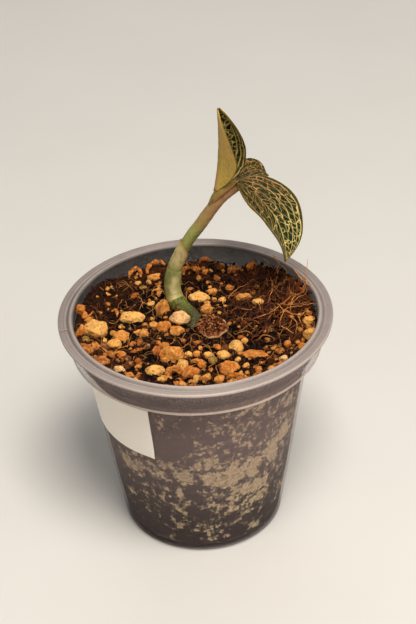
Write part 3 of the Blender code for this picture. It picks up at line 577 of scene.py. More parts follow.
def add_piece(name, points, faces, look, colours=None, values=None, node=None, second=None):
    """A piece from arrays: points in millimetres, and faces or a list of arrays of faces."""
    groups = faces if isinstance(faces, list) else [faces]
    points = np.asarray(points, dtype=np.float64)
    loops = np.concatenate([group.ravel() for group in groups]).astype(np.int32)
    sizes = np.concatenate([np.full(len(group), group.shape[1]) for group in groups]).astype(np.int32)
    mesh = bpy.data.meshes.new(name)
    mesh.vertices.add(len(points))
    mesh.vertices.foreach_set("co", (points * MM).ravel())
    mesh.loops.add(len(loops))
    mesh.loops.foreach_set("vertex_index", loops)
    mesh.polygons.add(len(sizes))
    mesh.polygons.foreach_set("loop_start", np.concatenate([[0], np.cumsum(sizes)[:-1]]).astype(np.int32))
    mesh.update(calc_edges=True)
    mesh.validate()
    mesh.materials.append(look)
    if second:
        mesh.materials.append(second[0])
        mesh.polygons.foreach_set("material_index", np.asarray(second[1], dtype=np.int32))
    mesh.shade_smooth()
    if colours is not None:
        paint = mesh.attributes.new("tint", "FLOAT_COLOR", "POINT")
        paint.data.foreach_set("color", np.column_stack([np.clip(colours, 0, 1), np.ones(len(points))]).ravel())
    for key, given in (values or {}).items():
        mesh.attributes.new(key, "FLOAT", "POINT").data.foreach_set("value", np.asarray(given, dtype=np.float32))
    piece = bpy.data.objects.new(name, mesh)
    bpy.context.scene.collection.objects.link(piece)
    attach(piece, "root")
    if node:
        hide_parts(node)
    return piece


def grid_faces(rows, columns, wrap=False, start=0):
    """Quads of a grid of points, row by row; with wrap each row closes into a ring."""
    row, column = np.meshgrid(np.arange(rows - 1), np.arange(columns if wrap else columns - 1), indexing="ij")
    after = (column + 1) % columns
    corners = (row * columns + column, row * columns + after, (row + 1) * columns + after, (row + 1) * columns + column)
    return np.stack([corner.ravel() for corner in corners], axis=1) + start


def skirt(rows, columns):
    """Quads round the edge, from a grid of points to the next grid after it."""
    grid = np.arange(rows * columns).reshape(rows, columns)
    around = np.concatenate([grid[0], grid[1:, -1], grid[-1, -2::-1], grid[-2:0:-1, 0]])
    after = np.roll(around, -1)
    return np.stack([around, after, after + grid.size, around + grid.size], axis=1)


def disc(count):
    """A square grid from -1 to 1, pressed into a disc: its x and its y."""
    line = np.linspace(-1, 1, count)
    x, y = (axis.ravel() for axis in np.meshgrid(line, line, indexing="ij"))
    return x * np.sqrt(1 - y * y / 2), y * np.sqrt(1 - x * x / 2)


def at_each(found, x, y):
    """What a function of a place gives at each of many."""
    return np.array([found(a, b) for a, b in zip(x, y)])


def lathe(profile, steps):
    """A profile of (radius, height) turned round Z; it begins and ends on the axis."""
    turn = np.linspace(0, math.tau, steps, endpoint=False)
    radius, height = np.array(profile[1:-1]).T
    points = np.stack(
        [radius[:, None] * np.cos(turn), radius[:, None] * np.sin(turn), np.repeat(height[:, None], steps, 1)], axis=-1
    )
    points = np.vstack([points.reshape(-1, 3), (0, 0, profile[0][1]), (0, 0, profile[-1][1])])
    ring = np.arange(steps)
    after, last, count = (ring + 1) % steps, (len(radius) - 1) * steps, len(points)
    caps = np.vstack([
        np.stack([ring, after, np.full(steps, count - 2)], axis=1),
        np.stack([last + after, last + ring, np.full(steps, count - 1)], axis=1),
    ])
    return points, [grid_faces(len(radius), steps, wrap=True)[:, ::-1], caps]


def spread(profile, step):
    """The profile with points added so that none are further apart than step."""
    found = [profile[0]]
    for (r0, z0), (r1, z1) in zip(profile, profile[1:]):
        count = max(1, math.ceil(math.hypot(r1 - r0, z1 - z0) / step))
        found += [(r0 + (r1 - r0) * i / count, z0 + (z1 - z0) * i / count) for i in range(1, count + 1)]
    return found


def smooth_path(driving, steps):
    """Catmull-Rom points through driving points of any dimension."""
    points = np.array(driving, dtype=float)
    points = np.vstack([2 * points[0] - points[1], points, 2 * points[-1] - points[-2]])
    found = []
    for p0, p1, p2, p3 in zip(points, points[1:], points[2:], points[3:]):
        for step in range(steps):
            t = step / steps
            found.append(
                0.5
                * (2 * p1 + (p2 - p0) * t + (2 * p0 - 5 * p1 + 4 * p2 - p3) * t**2 + (3 * p1 - p0 - 3 * p2 + p3) * t**3)
            )
    found.append(points[-2])
    return np.array(found)


def tube(path, radii, sides):
    """Points and quads of a tube along a path, without a twist."""
    along = np.gradient(path, axis=0)
    along /= np.linalg.norm(along, axis=1)[:, None]
    side = np.cross(along[0], (0.13, 0.29, 0.95))
    rings = []
    turn = np.linspace(0, math.tau, sides, endpoint=False)[:, None]
    for point, direction, radius in zip(path, along, radii):
        side = side - direction * np.dot(side, direction)
        side /= np.linalg.norm(side)
        rings.append(point + radius * (np.cos(turn) * side + np.sin(turn) * np.cross(direction, side)))
    return np.concatenate(rings), grid_faces(len(path), sides, wrap=True)


def away(points, path):
    """The direction from the path to each point of a tube round it."""
    found = points - np.repeat(path[:, :3], len(points) // len(path), axis=0)
    return found / np.linalg.norm(found, axis=1)[:, None]


BALLS = {}


def ball(level):
    """Points and triangles of an icosphere."""
    if level not in BALLS:
        built = bmesh.new()
        bmesh.ops.create_icosphere(built, subdivisions=level, radius=1.0)
        points = np.array([vert.co[:] for vert in built.verts])
        faces = np.array([[vert.index for vert in face.verts] for face in built.faces])
        built.free()
        BALLS[level] = points, faces
    return BALLS[level]


class Heap:
    """Many small shapes gathered into one piece."""

    def __init__(self):
        self.points, self.faces, self.colours, self.count = [], {}, [], 0

    def add(self, points, faces, shade):
        self.points.append(points)
        self.faces.setdefault(faces.shape[1], []).append(faces + self.count)
        self.colours.append(np.broadcast_to(shade, (len(points), 3)))
        self.count += len(points)

    def make(self, name, look, slot):
        faces = [np.concatenate(group) for group in self.faces.values()]
        return add_piece(name, np.concatenate(self.points), faces, look, np.concatenate(self.colours))


# Pot


def on_wall(across, down):
    """The angle and height of the point on the wall that the photograph shows at a pixel."""
    height = SHOULDER_HEIGHT + 4
    point = at_pixel(across, down, height)
    while math.hypot(point.x, point.y) > wall_radius(height) and height > 1:
        height -= 0.25
        point = at_pixel(across, down, height)
    return math.degrees(math.atan2(point.x, -point.y)), height


def wall_radius(z):
    if z < WALL_LOW_HEIGHT:
        return FOOT_RADIUS + (WALL_LOW_RADIUS - FOOT_RADIUS) * z / WALL_LOW_HEIGHT
    share = (z - WALL_LOW_HEIGHT) / (SHOULDER_HEIGHT - WALL_LOW_HEIGHT)
    return WALL_LOW_RADIUS + (WALL_TOP_RADIUS - WALL_LOW_RADIUS) * share


def make_pot(look):
    low_inside = wall_radius(2.8) - WALL_THICKNESS
    inside = [
        (0.0, FLOOR_TOP), (low_inside - 1.6, FLOOR_TOP), (low_inside - 0.5, 2.2), (low_inside, 2.9),
        (WALL_LOW_RADIUS - WALL_THICKNESS, WALL_LOW_HEIGHT),
        (WALL_TOP_RADIUS - WALL_THICKNESS, SHOULDER_HEIGHT - 0.3), (WALL_TOP_RADIUS - 0.2, SHOULDER_HEIGHT + 0.6),
        (RIM_INNER_RADIUS - 0.4, SHOULDER_HEIGHT + 0.9), (RIM_INNER_RADIUS, SHOULDER_HEIGHT + 1.4),
        (RIM_INNER_RADIUS, POT_HEIGHT - 1.4),
    ]
    rim = [(RIM_INNER_RADIUS + outward, POT_HEIGHT - down) for outward, down in RIM_PROFILE]
    shoulder = (
        (COLLAR_RADIUS, 1.7), (COLLAR_RADIUS + 0.2, 1.3), (BEAD_RADIUS - 0.12, 1.05), (BEAD_RADIUS, 0.7),
        (BEAD_RADIUS - 0.1, 0.35), (BEAD_RADIUS - 0.5, 0.05), (WALL_TOP_RADIUS + 1.2, -0.15),
        (WALL_TOP_RADIUS + 0.4, -0.3), (WALL_TOP_RADIUS, -0.9),
    )
    outside = [
        *((radius, SHOULDER_HEIGHT + up) for radius, up in shoulder), (WALL_LOW_RADIUS, WALL_LOW_HEIGHT),
        (wall_radius(1.4), 1.4), (FOOT_RADIUS - 0.15, 0.75), (FOOT_RADIUS - 0.6, 0.3), (25.8, 0.08), (25.4, 0.0),
        (22.0, 0.0), (21.6, 0.15), (21.1, 1.2), (0.0, 1.2),
    ]
    points, faces = lathe(spread(inside, 1.6) + rim + spread(outside, 1.6), POT_SIDES)
    radius, height = np.hypot(points[:, 0], points[:, 1]), points[:, 2]
    on_rim = ramp(height, 78.9, 79.5) * ramp(radius, 40.0, 40.12)
    bead = (1 - ramp(np.abs(height - 70.3), 0.35, 0.75)) * ramp(radius, 40.7, 41.0)
    # inward marks the inner face above the soil. The layers below paint it dark as painted shade, and lighter toward +X
    # as painted light.
    inward = (1 - ramp(radius, 40.05, 40.3)) * ramp(height, 71.0, 72.5)
    # low rises from 0 at the bottom to 1 at mid height; the body's colour darkens toward the bottom as painted shade.
    low = ramp(height, 4, 52)
    fleck = rough(points, 1.9, 7.0) + 0.5 * rough(points, 0.7, 2.0)
    stain = ramp(fleck, 0.15, 0.5) * ramp(height, 71.5, 72.5) * (1 - ramp(height, 74.5, 77))
    tones = np.array([colour(grey, grey * 0.92, grey * 0.88) for grey in RIM_LINES[1]])
    lined = radius + 0.05 * rough(points, 4.0, 3.0)
    lines = np.stack([np.interp(lined, RIM_LINES[0], channel) for channel in tones.T], axis=1)
    streaky = rough(points * (1.0, 1.0, 4.0), 6.0, 5.0)
    lines = blend(lines, lines * 0.7, ramp(streaky, -0.1, 0.5) * ramp(points[:, 1], -10, 30) * 0.6)
    # The rim is painted brighter at the front and darker at the sides and back: painted light and shade, by how the
    # light falls round it.
    around = np.degrees(np.arctan2(points[:, 1], points[:, 0]))
    lines = lines * np.interp(around, (-180, -90, 0, 90, 180), (0.5, 0.88, 0.6, 0.66, 0.5))[:, None]
    shades = coats(
        height, (104, 86, 84), ((168, 142, 138), low), ((180, 158, 152), ramp(height, 70.5, 72)),
        ((190, 120, 84), stain * 0.45),
        (coats(height, (24, 19, 20), ((104, 92, 92), ramp(points[:, 0], 12, 38))), inward),
        ((216, 198, 182), bead), (lines, on_rim),
    )
    clear = 0.20 + 0.07 * low + ramp(height, 71.2, 73.5) * 0.40 + inward * 0.25
    solid = np.maximum.reduce([clear, 0.93 * on_rim, 0.8 * bead, 0.5 * (1 - ramp(height, 0.2, 1.8))])
    pot = add_piece("pot_shell", points, faces, look, shades, values={"solid": solid}, node="pot")
    drain(pot)


def drain(pot):
    """The holes in the floor of the pot."""
    cutters = []
    for i in range(-1, DRAIN_COUNT):
        turn = math.tau * i / DRAIN_COUNT
        reach = DRAIN_CIRCLE if i >= 0 else 0.0
        bpy.ops.mesh.primitive_cylinder_add(
            vertices=40, radius=DRAIN_RADIUS * MM, depth=4 * MM,
            location=(reach * math.cos(turn) * MM, reach * math.sin(turn) * MM, 1.6 * MM),
        )
        cutters.append(bpy.context.object)
        cut = pot.modifiers.new("Drain", "BOOLEAN")
        cut.operation, cut.solver, cut.object = "DIFFERENCE", "EXACT", cutters[-1]
    graph = bpy.context.evaluated_depsgraph_get()
    mesh = bpy.data.meshes.new_from_object(pot.evaluated_get(graph))
    pot.modifiers.clear()
    pot.data = mesh
    for cutter in cutters:
        bpy.data.objects.remove(cutter)


# Soil


def relief(x, y):
    spot = Vector((x, y, 4.0))
    lumps = noise.noise(spot / 9.0) * 1.3 + noise.noise(spot / 3.7) * 0.9
    mat = bell(x, MAT_CENTRE[0], MAT_SPREAD[0]) * bell(y, MAT_CENTRE[1], MAT_SPREAD[1])
    return SOIL_RELIEF * lumps + MAT_HEIGHT * (1 + 0.5 * noise.noise(spot / 2.8)) * mat


def matted(x, y):
    """How far a place belongs to the root mat, 0 to 1."""
    reach = math.hypot((x - 24.0) / 15.0, (y - 15.0) / 19.0)
    return float(1 - ramp(reach + 0.18 * noise.noise(Vector((x, y, 1.0)) / 5.0), 0.7, 1.1))


def ground(x, y):
    """Height of the soil with its fine lumps."""
    spot = Vector((x, y, 0.0))
    fine = 1.1 * noise.noise(spot / 2.8) + 0.7 * noise.noise(spot / 1.3) + 0.3 * noise.noise(spot / 0.6)
    reach = math.hypot(x, y)
    edge, climb = float(ramp(reach, SOIL_EDGE - 2.5, SOIL_EDGE)), float(ramp(reach, 27.0, 41.0))
    bank = np.interp(math.degrees(math.atan2(y, x)), *BANK)
    return SOIL_LEVEL + relief(x, y) * (1 - climb) + bank * climb + fine * (1 - 0.6 * edge)


def on_soil(across, down, lift=0.0):
    """The point over the soil that the photograph shows at a pixel; by the wall it leans on the wall."""
    point = at_pixel(across, down, SOIL_LEVEL)
    for _ in range(4):
        point = at_pixel(across, down, ground(point.x, point.y) + lift)
    while math.hypot(point.x, point.y) > 38.8 and point.z < 82.0:
        point = at_pixel(across, down, point.z + 0.2)
    return point


def make_soil_top(look):
    x, y = (SOIL_EDGE * part for part in disc(SOIL_GRID))
    z = at_each(ground, x, y)
    z[np.hypot(x, y) > SOIL_EDGE - 0.02] -= 1.5
    points = np.stack([x, y, z], axis=1)
    fine = z - SOIL_LEVEL - at_each(relief, x, y)
    # Painted shade: near black where the fine lumps dip, lighter where they rise.
    shades = coats(x, (9, 4, 2), ((88, 46, 20), ramp(fine, -0.1, 1.0)))
    # Painted shade: darker toward the back left.
    shades = shades * (1 - 0.5 * ramp(-x, 8, 26) * ramp(y, -10, 6))[:, None]
    warm = ramp(rough(points, 5.0, 6.0), 0.0, 0.4) * ramp(np.hypot(x, y), 28, 37)
    rusty = coats(x, (84, 38, 15), ((186, 90, 36), warm))
    # The mat too is painted near black in the dips of its lumps, as shade.
    mat = coats(x, (10, 4, 2), (rusty, ramp(fine, 0.0, 0.9)))
    shades = blend(shades, mat, at_each(matted, x, y))
    add_piece("soil_surface", points, grid_faces(SOIL_GRID, SOIL_GRID), look, shades, node="soil")


def make_soil_side(look):
    gap = WALL_THICKNESS + 0.08
    low_inside = wall_radius(2.8) - gap
    profile = [
        (0.0, SOIL_LEVEL - 3.0), (SOIL_EDGE - 3.0, SOIL_LEVEL - 2.5), (SOIL_EDGE, SOIL_LEVEL - 0.2),
        (SOIL_EDGE, SHOULDER_HEIGHT + 1.6), (SOIL_EDGE - 0.5, SHOULDER_HEIGHT + 1.1),
        (WALL_TOP_RADIUS - 0.4, SHOULDER_HEIGHT + 0.8), (WALL_TOP_RADIUS - gap, SHOULDER_HEIGHT - 0.3),
        (WALL_LOW_RADIUS - gap, WALL_LOW_HEIGHT), (low_inside, 3.2), (low_inside - 1.6, FLOOR_TOP + 0.3),
        (0.0, FLOOR_TOP + 0.3),
    ]
    points, faces = lathe(spread(profile, 1.2), 200)
    x, y, z = points.T
    upper = (z > SHOULDER_HEIGHT + 1.6) & (np.hypot(x, y) > SOIL_EDGE - 2.0)
    z[upper] = np.maximum(z[upper], at_each(ground, x[upper], y[upper]) - 1.0)
    angle = np.degrees(np.arctan2(x, -y))
    blobs = list(HIDDEN_DUST)
    for across, down, wide, tall, dense in DUST:
        turn, height = on_wall(across, down)
        wide = min(2.4 * wide / PIXELS / math.cos(math.radians(turn)), 30.0)
        blobs.append((turn, height, wide, 1.5 * tall / PIXELS, dense))
    dust = np.zeros(len(points))
    for turn, height, wide, tall, dense in blobs:
        around = (angle - turn + 180) % 360 - 180
        dust = np.maximum(dust, dense * bell(around, 0, wide) * bell(z, height, tall))
    add_piece("soil_in_pot", points, faces, look, values={"dust": dust})


def grain_shape(level, draw, worn=0.0):
    """A worn, angular grain of radius about 1: flat facets, dents and pores."""
    points, faces = ball(level)
    normals = np.array([Vector([draw.gauss(0, 1) for _ in range(3)]).normalized() for _ in range(FACETS)])
    facing = np.clip(points @ normals.T, 0, None) / np.array([draw.uniform(0.74, 1.02) for _ in range(FACETS)])
    radius = np.clip((facing**14).sum(axis=1) ** (-1 / 14), 0.6, 1.25)
    seed = draw.uniform(0, 30)
    dents, fine = rough(points, 0.7, seed), rough(points, 0.3, seed + 5)
    pores = ramp(rough(points, 0.16, seed + 9), 0.2, 0.5) if level > 3 else np.zeros(len(points))
    radius = radius * (1 - worn) + 0.9 * worn
    radius = radius * (1 + (0.2 - 0.08 * worn) * dents + 0.09 * (1 - worn) * fine) - 0.05 * pores
    return points * radius[:, None], faces, dents, fine, pores


def turned(points, angle, lean_x=0.0, lean_y=0.0):
    turn = Matrix.Rotation(angle, 3, "Z") @ Matrix.Rotation(lean_x, 3, "X") @ Matrix.Rotation(lean_y, 3, "Y")
    return points @ np.array(turn).T


def strewn(draw, reach):
    """A random place within reach of the middle of the pot."""
    reach, turn = reach * math.sqrt(draw.random()), draw.uniform(0, math.tau)
    return reach * math.cos(turn), reach * math.sin(turn)


def make_grains(look, draw):
    """The grains of the table. Returns the place and radius that each one takes up."""
    heap, taken = Heap(), []
    for across, down, wide, high, turn, name in GRAINS:
        length, tall, pale = wide / PIXELS, high / PIXELS, name in ("cream", "white")
        point = on_soil(across, down, tall * 0.1)
        level = 5 if wide > 17 else 4 if wide > 8 else 3
        shape, faces, dents, fine, pores = grain_shape(level, draw, 0.42 if pale else 0.15)
        spun = turned(shape, draw.uniform(0, math.tau), draw.uniform(0, math.tau), draw.uniform(0, math.tau))
        sized = turned(spun * (length / 2, tall / 2, tall / 2), -math.radians(turn) * 0.5)
        shade = tint(name) * draw.uniform(0.88, 1.06)
        skin = ramp(rough(shape, 0.6, draw.uniform(0, 9)), 0.05, 0.35)
        # low marks the underside of a grain, which is painted darker as shade.
        low = 1 - ramp(sized[:, 2], -tall * 0.4, tall * 0.05)
        shades = coats(
            skin, shade, (shade * (0.62, 0.45, 0.3), (0.48 if pale else 0.65) * skin),
            # Lighter on the raised lumps: painted highlight.
            (blend(shade, tint("cream"), 0.5) * 1.15, 0.6 * ramp(dents + fine, 0.1, 0.6)),
            ((104, 48, 16), 0.6 * pores), ((86, 40, 16), 0.7 * low),
        )
        heap.add(sized + np.array(point), faces, shades)
        taken.append((point.x, point.y, max(length, tall) / 2))
    heap.make("grains", look, "peat")
    return taken


def make_small_grains(look, draw, taken):
    """Random grains in the places that are left, more and larger toward the front."""
    heap, made = Heap(), 0
    names = ("tan", "orange", "rust", "straw", "brown", "orange")
    while made < SMALL_GRAINS:
        x, y = strewn(draw, 38.2)
        front = y < -10 or (y < 2 and x < -18)
        size = draw.uniform(0.9, 3.2) if front else draw.uniform(0.7, 2.2)
        if matted(x, y) > 0.5 and draw.random() < 0.8 or not front and draw.random() < 0.4:
            continue
        if any(math.hypot(x - a, y - b) < c + size * 0.3 for a, b, c in taken):
            continue
        taken.append((x, y, size * 0.35))
        shape, faces, dents, *_ = grain_shape(3, draw)
        sized = shape * (size / 2, size * draw.uniform(0.6, 1) / 2, size * draw.uniform(0.5, 0.9) / 2)
        spun = turned(sized, draw.uniform(0, 6))
        shade = tint(names[draw.randrange(len(names))]) * draw.uniform(0.65, 1.05)
        shades = coats(dents, shade, (tint("brown"), 0.6 * ramp(dents, 0, 0.5)))
        heap.add(spun + (x, y, ground(x, y) + size * 0.1), faces, shades)
        made += 1
    heap.make("small_grains", look, "peat")


def make_crumbs(look, draw):
    heap = Heap()
    shades = [colour(*shade) for shade in CRUMB_SHADES]
    for i in range(sum(CRUMBS)):
        at_edge = i >= CRUMBS[0]
        x, y = strewn(draw, 39.0)
        if at_edge:
            farther = draw.uniform(38.3, 39.4) / math.hypot(x, y)
            x, y = x * farther, y * farther
        if math.dist((x, y), STEM_FOOT) < 3.2:
            continue
        size = draw.uniform(0.4, 1.0) if i % 4 else draw.uniform(0.9, 2.0)
        points, faces = ball(1 if size < 1.0 else 2)
        jagged = points * np.array([draw.uniform(0.6, 1.3) for _ in range(len(points))])[:, None]
        sized = jagged * (size / 2, size * draw.uniform(0.35, 0.8) / 2, size * draw.uniform(0.25, 0.8) / 2)
        spun = turned(sized, draw.uniform(0, 6.3), draw.uniform(-0.9, 0.9), draw.uniform(-0.9, 0.9))
        shade = shades[min(len(shades) - 1, int(abs(draw.gauss(0, 1.9))))] * draw.uniform(0.8, 1.3)
        if matted(x, y) > 0.5:
            shade = shade * (1.5, 1.0, 0.7)
        if at_edge:
            spun = np.clip(spun, -0.55, 0.55)
        heap.add(spun + (x, y, ground(x, y) + draw.uniform(0.0, 1.3 if at_edge else 0.4)), faces, shade)
    heap.make("crumbs", look, "peat")


def wandering(x, y, length, steps, draw, bend, arch, base):
    """A path that wanders over the soil and rises in its middle."""
    heading = draw.uniform(0, math.tau)
    path = []
    curve = draw.uniform(-bend, bend)
    for i in range(steps + 1):
        path.append((x, y, ground(x, y) + base + arch * math.sin(math.pi * i / steps)))
        heading += curve / steps + draw.gauss(0, bend * 0.35 / math.sqrt(steps))
        x, y = x + length / steps * math.cos(heading), y + length / steps * math.sin(heading)
        if math.hypot(x, y) > 38.9:
            x, y = (value * 38.9 / math.hypot(x, y) for value in (x, y))
            heading += 1.2
    return np.array(path)


def make_fibres(look, draw):
    heap = Heap()
    shades = [colour(*shade) for shade in FIBRE_SHADES]
    for _ in range(FIBRES):
        x, y = strewn(draw, 38.5)
        if math.dist((x, y), STEM_FOOT) < 3.5:
            continue
        path = wandering(x, y, draw.uniform(1.6, 7.0), 6, draw, 1.3, draw.uniform(0.0, 1.3), 0.2)
        radii = draw.uniform(0.05, 0.15) * np.array((1, 1, 1, 1, 0.9, 0.8, 0.4))
        heap.add(*tube(path, radii, 4), shades[draw.randrange(len(shades))] * draw.uniform(0.7, 1.2))
    over_rim = smooth_path([at_pixel(across, down, POT_HEIGHT + 0.05) for across, down in FIBRE_ON_RIM], 6)
    heap.add(*tube(over_rim, 0.1 + 0.04 * rough(over_rim, 0.6), 6), colour(214, 180, 132))
    heap.make("fibres", look, "peat")


def make_roots(look, draw):
    heap, made = Heap(), 0
    light, dark = colour(248, 164, 84), colour(158, 82, 34)
    for thickness, *route in STRANDS:
        path = smooth_path([on_soil(across, down, lift + 0.2) for across, down, lift in route], 6)
        path += 0.45 * np.stack([rough(path, 1.6, seed) for seed in (2.0, 3.0, 4.0)], axis=1)
        radii = 0.37 * thickness * np.linspace(1, 0.55, len(path)) * (1 + 0.18 * rough(path, 0.9, 6.0))
        points, faces = tube(path, radii, 8)
        shades = coats(points[:, 0], light, (dark, ramp(rough(points, 1.4, 7.0), -0.2, 0.7)))
        heap.add(points, faces, shades * draw.uniform(0.85, 1.15))
    while made < ROOTS:
        x, y = draw.gauss(25, 8.5), draw.gauss(15, 11)
        if math.hypot(x, y) > 38.5 or matted(x, y) < 0.35:
            continue
        path = wandering(x, y, draw.uniform(3, 11), 9, draw, 2.2, draw.uniform(0.1, 1.8), draw.uniform(0.0, 0.5))
        golden = made % 8 == 0 and x > 22
        size = draw.uniform(0.09, 0.15) if golden else draw.uniform(0.06, 0.17)
        shade = light * 0.9 if golden else blend(dark * 0.8, colour(44, 18, 7), draw.uniform(0, 1))
        heap.add(*tube(path, size * np.linspace(1, 0.55, len(path)), 5), shade * draw.uniform(0.7, 1.3))
        made += 1
    heap.make("roots", look, "peat")


def make_arches(look):
    """Curled flakes of orange bark, thin toward the front and wide along the curl."""
    heap, sides = Heap(), 20
    for wide, name, *route in ARCHES:
        path = smooth_path([on_soil(across, down, lift) for across, down, lift in route], 8)
        share = np.linspace(0, 1, len(path))
        swell = (0.6 + 0.55 * np.sin(math.pi * share)) * (1 + 0.5 * rough(path, 1.6, 3.0))
        swell[[0, -1]] *= 0.2
        points, faces = tube(path, wide / 2 * swell, sides)
        middle = np.repeat(path, sides, axis=0)
        points[:, 1] = (points[:, 1] + middle[:, 1]) / 2
        points += (points - middle) * (0.5 * rough(points, 1.1, 4.0) + 0.2 * rough(points, 0.4, 8.0))[:, None]
        shades = coats(
            points[:, 0], tint(name), (tint("rust") * 0.5, ramp(rough(points, 0.9, 5.0), -0.3, 0.3) * 0.85),
            (tint("tan"), ramp(rough(points, 0.6, 7.0), 0.1, 0.5) * 0.7),
        )
        heap.add(points, faces, shades)
    heap.make("bark_curls", look, "peat")


def make_bark(look):
    """A shrivelled husk of bark, tipped toward the front, with a fibrous hollow and a pale lip."""
    s, t = disc(BARK_GRID)
    reach = np.hypot(s, t)
    flat = np.stack([s * 4, t * 4, 0 * s], axis=1)
    ragged = 1 + (0.16 * rough(flat, 2.2, 2.0) + 0.07 * rough(flat, 0.8, 6.0)) * ramp(reach, 0.4, 1.0)
    plan = np.stack([s * BARK_SIZE[0] / 2 * ragged, t * BARK_SIZE[1] / 2 * ragged, 0 * s], axis=1)
    plan = turned(plan, math.radians(BARK_TURN))
    rim = BARK_LEVEL + BARK_TIP * t + BARK_PEAK * bell(s, -0.3, 0.3) * bell(t, 0.95, 0.4)
    hollow = ramp(1 - reach, 0.06, 0.7)
    fibres, lumps = rough(flat * (1.0, 1.7, 1.0), 0.5, 5.0), rough(flat, 0.32, 9.0)
    top, low = plan + (*BARK_CENTRE, 0), plan * 0.97 + (*BARK_CENTRE, 0)
    top[:, 2] = rim - BARK_HOLLOW * 1.15 * hollow + (0.4 * fibres + 0.3 * lumps) * (0.25 + 0.75 * hollow)
    top[:, 2] += 0.5 * rough(flat, 1.5, 7.0) * ramp(reach, 0.7, 1.0)
    top[:, 2] += 0.9 * ramp(-s, 0.2, 0.8) * np.clip(rough(flat, 1.0, 11.0), 0, 1)
    low[:, 2] = rim - (BARK_HOLLOW + BARK_BELLY) * (1 - reach**2) - BARK_THICKNESS
    lip = ramp(reach + 0.16 * rough(flat, 0.9, 1.0), 0.86, 0.98)
    # The hollow is painted darker where its fibres and lumps dip and deep toward its back, as shade, and lighter where
    # they rise, as painted highlight.
    inner = coats(
        s, (138, 72, 32), ((32, 10, 3), ramp(-fibres - 0.6 * lumps, -0.2, 0.4)),
        ((40, 14, 6), 0.75 * bell(s, -0.05, 0.3) * bell(t, 0.35, 0.35)),
        ((214, 148, 92), ramp(fibres + lumps, 0.2, 0.7) * 0.8),
        ((216, 162, 114), lip * np.clip(ramp(s - t, -0.6, 0.6) + 0.5 * rough(flat, 0.7, 8.0), 0, 1)),
    )
    outer = coats(s, (140, 88, 58), ((80, 42, 26), ramp(rough(flat, 1.0, 3.0), -0.2, 0.5)))
    sheet = grid_faces(BARK_GRID, BARK_GRID)
    faces = [sheet[:, ::-1], sheet + len(s), skirt(BARK_GRID, BARK_GRID)]
    shades = np.concatenate([inner, outer])
    add_piece("bark_curl", np.concatenate([top, low]), faces, look, shades, node="bark_piece")


# Plant


def make_stem(look):
    steps, sides, ends = 14, 56, (0.05, 0.55, 0.78, 0.9, 0.97, 1.0)
    path = smooth_path(STEM, steps)
    keys = np.arange(len(path)) / steps
    radii = path[:, 3] + sum(swell * bell(keys, joint, reach) for joint, swell, reach in STEM_SWELLINGS)
    radii *= np.interp(keys, (8, 11, 14), (1, 0.95, 0.95))
    radii[:6] *= ends
    radii[-6:] *= ends[::-1]
    points, faces = tube(path[:, :3], radii, sides)
    key = np.repeat(keys, sides)
    outward = away(points, path)
    points = points + outward * (0.05 * rough(points, 1.3) + 0.03 * rough(points * (1, 1, 0.3), 0.5, 4.0))[:, None]

    def zone(low, high, soft=0.25):
        return ramp(key, low - soft, low + soft) * (1 - ramp(key, high - soft, high + soft))

    patchy, speckle = rough(points, 2.2, 3.0), rough(points, 0.5, 6.0)
    left = outward @ np.array((-0.8, -0.6, 0.0))
    scar = np.linalg.norm(points - np.array(STEM_SCAR), axis=1)
    shades = coats(
        key, (20, 34, 0),
        # Below key 3.8 the rhizome stays darker toward its low end: painted shade.
        ((80, 92, 8), ramp(key, 1.8, 3.8)),
        ((26, 34, 4), ramp(speckle + 0.5 * patchy, -0.1, 0.35) * zone(-1, 4.6) * 0.8),
        ((178, 164, 84), ramp(-speckle, 0.3, 0.5) * zone(3.2, 4.7) * 0.3),
        ((174, 168, 104), zone(4.9, 7.9)),
        ((222, 206, 150), zone(5.0, 7.6) * bell(left + 0.25 * patchy, 0.55, 0.3) * 0.9),
        ((112, 122, 54), zone(5.0, 7.9) * ramp(-left + 0.4 * patchy, 0.1, 0.8) * 0.85),
        ((104, 124, 62), zone(5.6, 7.9) * ramp(left + 0.3 * patchy, 0.75, 0.98) * 0.7),
        ((150, 124, 74), bell(key - 0.15 * patchy, 5.7, 0.05) * 0.5),
        ((96, 116, 62), zone(7.3, 7.9, 0.2) * np.clip(0.45 + patchy, 0, 0.8)),
        ((150, 150, 88), zone(7.9, 8.6)),
        ((120, 128, 58), zone(8.6, 12.0, 0.4)),
        ((158, 156, 88), zone(8.6, 12.2, 0.4) * ramp(left + 0.4 * speckle, 0.3, 0.9) * 0.6),
        ((166, 132, 84), ramp(key, 11.4, 12.6)),
        ((166, 112, 80), ramp(key, 12.6, 14.2)),
        ((120, 112, 58), ramp(key, 12.0, 13.0) * ramp(left, -0.2, 0.9) * 0.35),
        ((176, 170, 118), ramp(speckle, 0.25, 0.6) * 0.3 * zone(4.8, 13.0)),
        ((26, 20, 12), (1 - ramp(scar, 0.3, 0.8)) * 0.9),
    )
    add_piece("stem_tube", points, faces, look, shades, node="stem")


def make_sheath(look):
    """The papery sheath round the middle of the stem, cut obliquely at its mouth."""
    steps, sides = 24, 64
    path = smooth_path(STEM, steps)[SHEATH[0] * steps - 6 : SHEATH[1] * steps + 1]
    share = np.linspace(0, 1, len(path))
    radii = path[:, 3] + SHEATH_EXTRA * (0.35 + 0.75 * share) * ramp(share, 0.0, 0.08)
    points, faces = tube(path[:, :3], radii, sides)
    veins = rough(points * (1, 1, 0.12), 0.45, 2.0)
    points = points + away(points, path) * (0.06 * veins)[:, None]
    past = (points - np.array(SHEATH_MOUTH)) @ np.array(SHEATH_MOUTH_NORMAL) + 0.35 * rough(points, 0.8, 5.0)
    keep = (past[faces] < 0).all(axis=1)
    shades = coats(
        veins, (204, 186, 134), ((168, 150, 92), ramp(veins, -0.1, 0.5)),
        ((150, 150, 84), 1 - ramp(np.repeat(share, sides), 0.02, 0.3)), ((172, 112, 62), ramp(past, -1.3, -0.1) * 0.75),
    )
    add_piece("stem_sheath", points, faces[keep], look, shades)


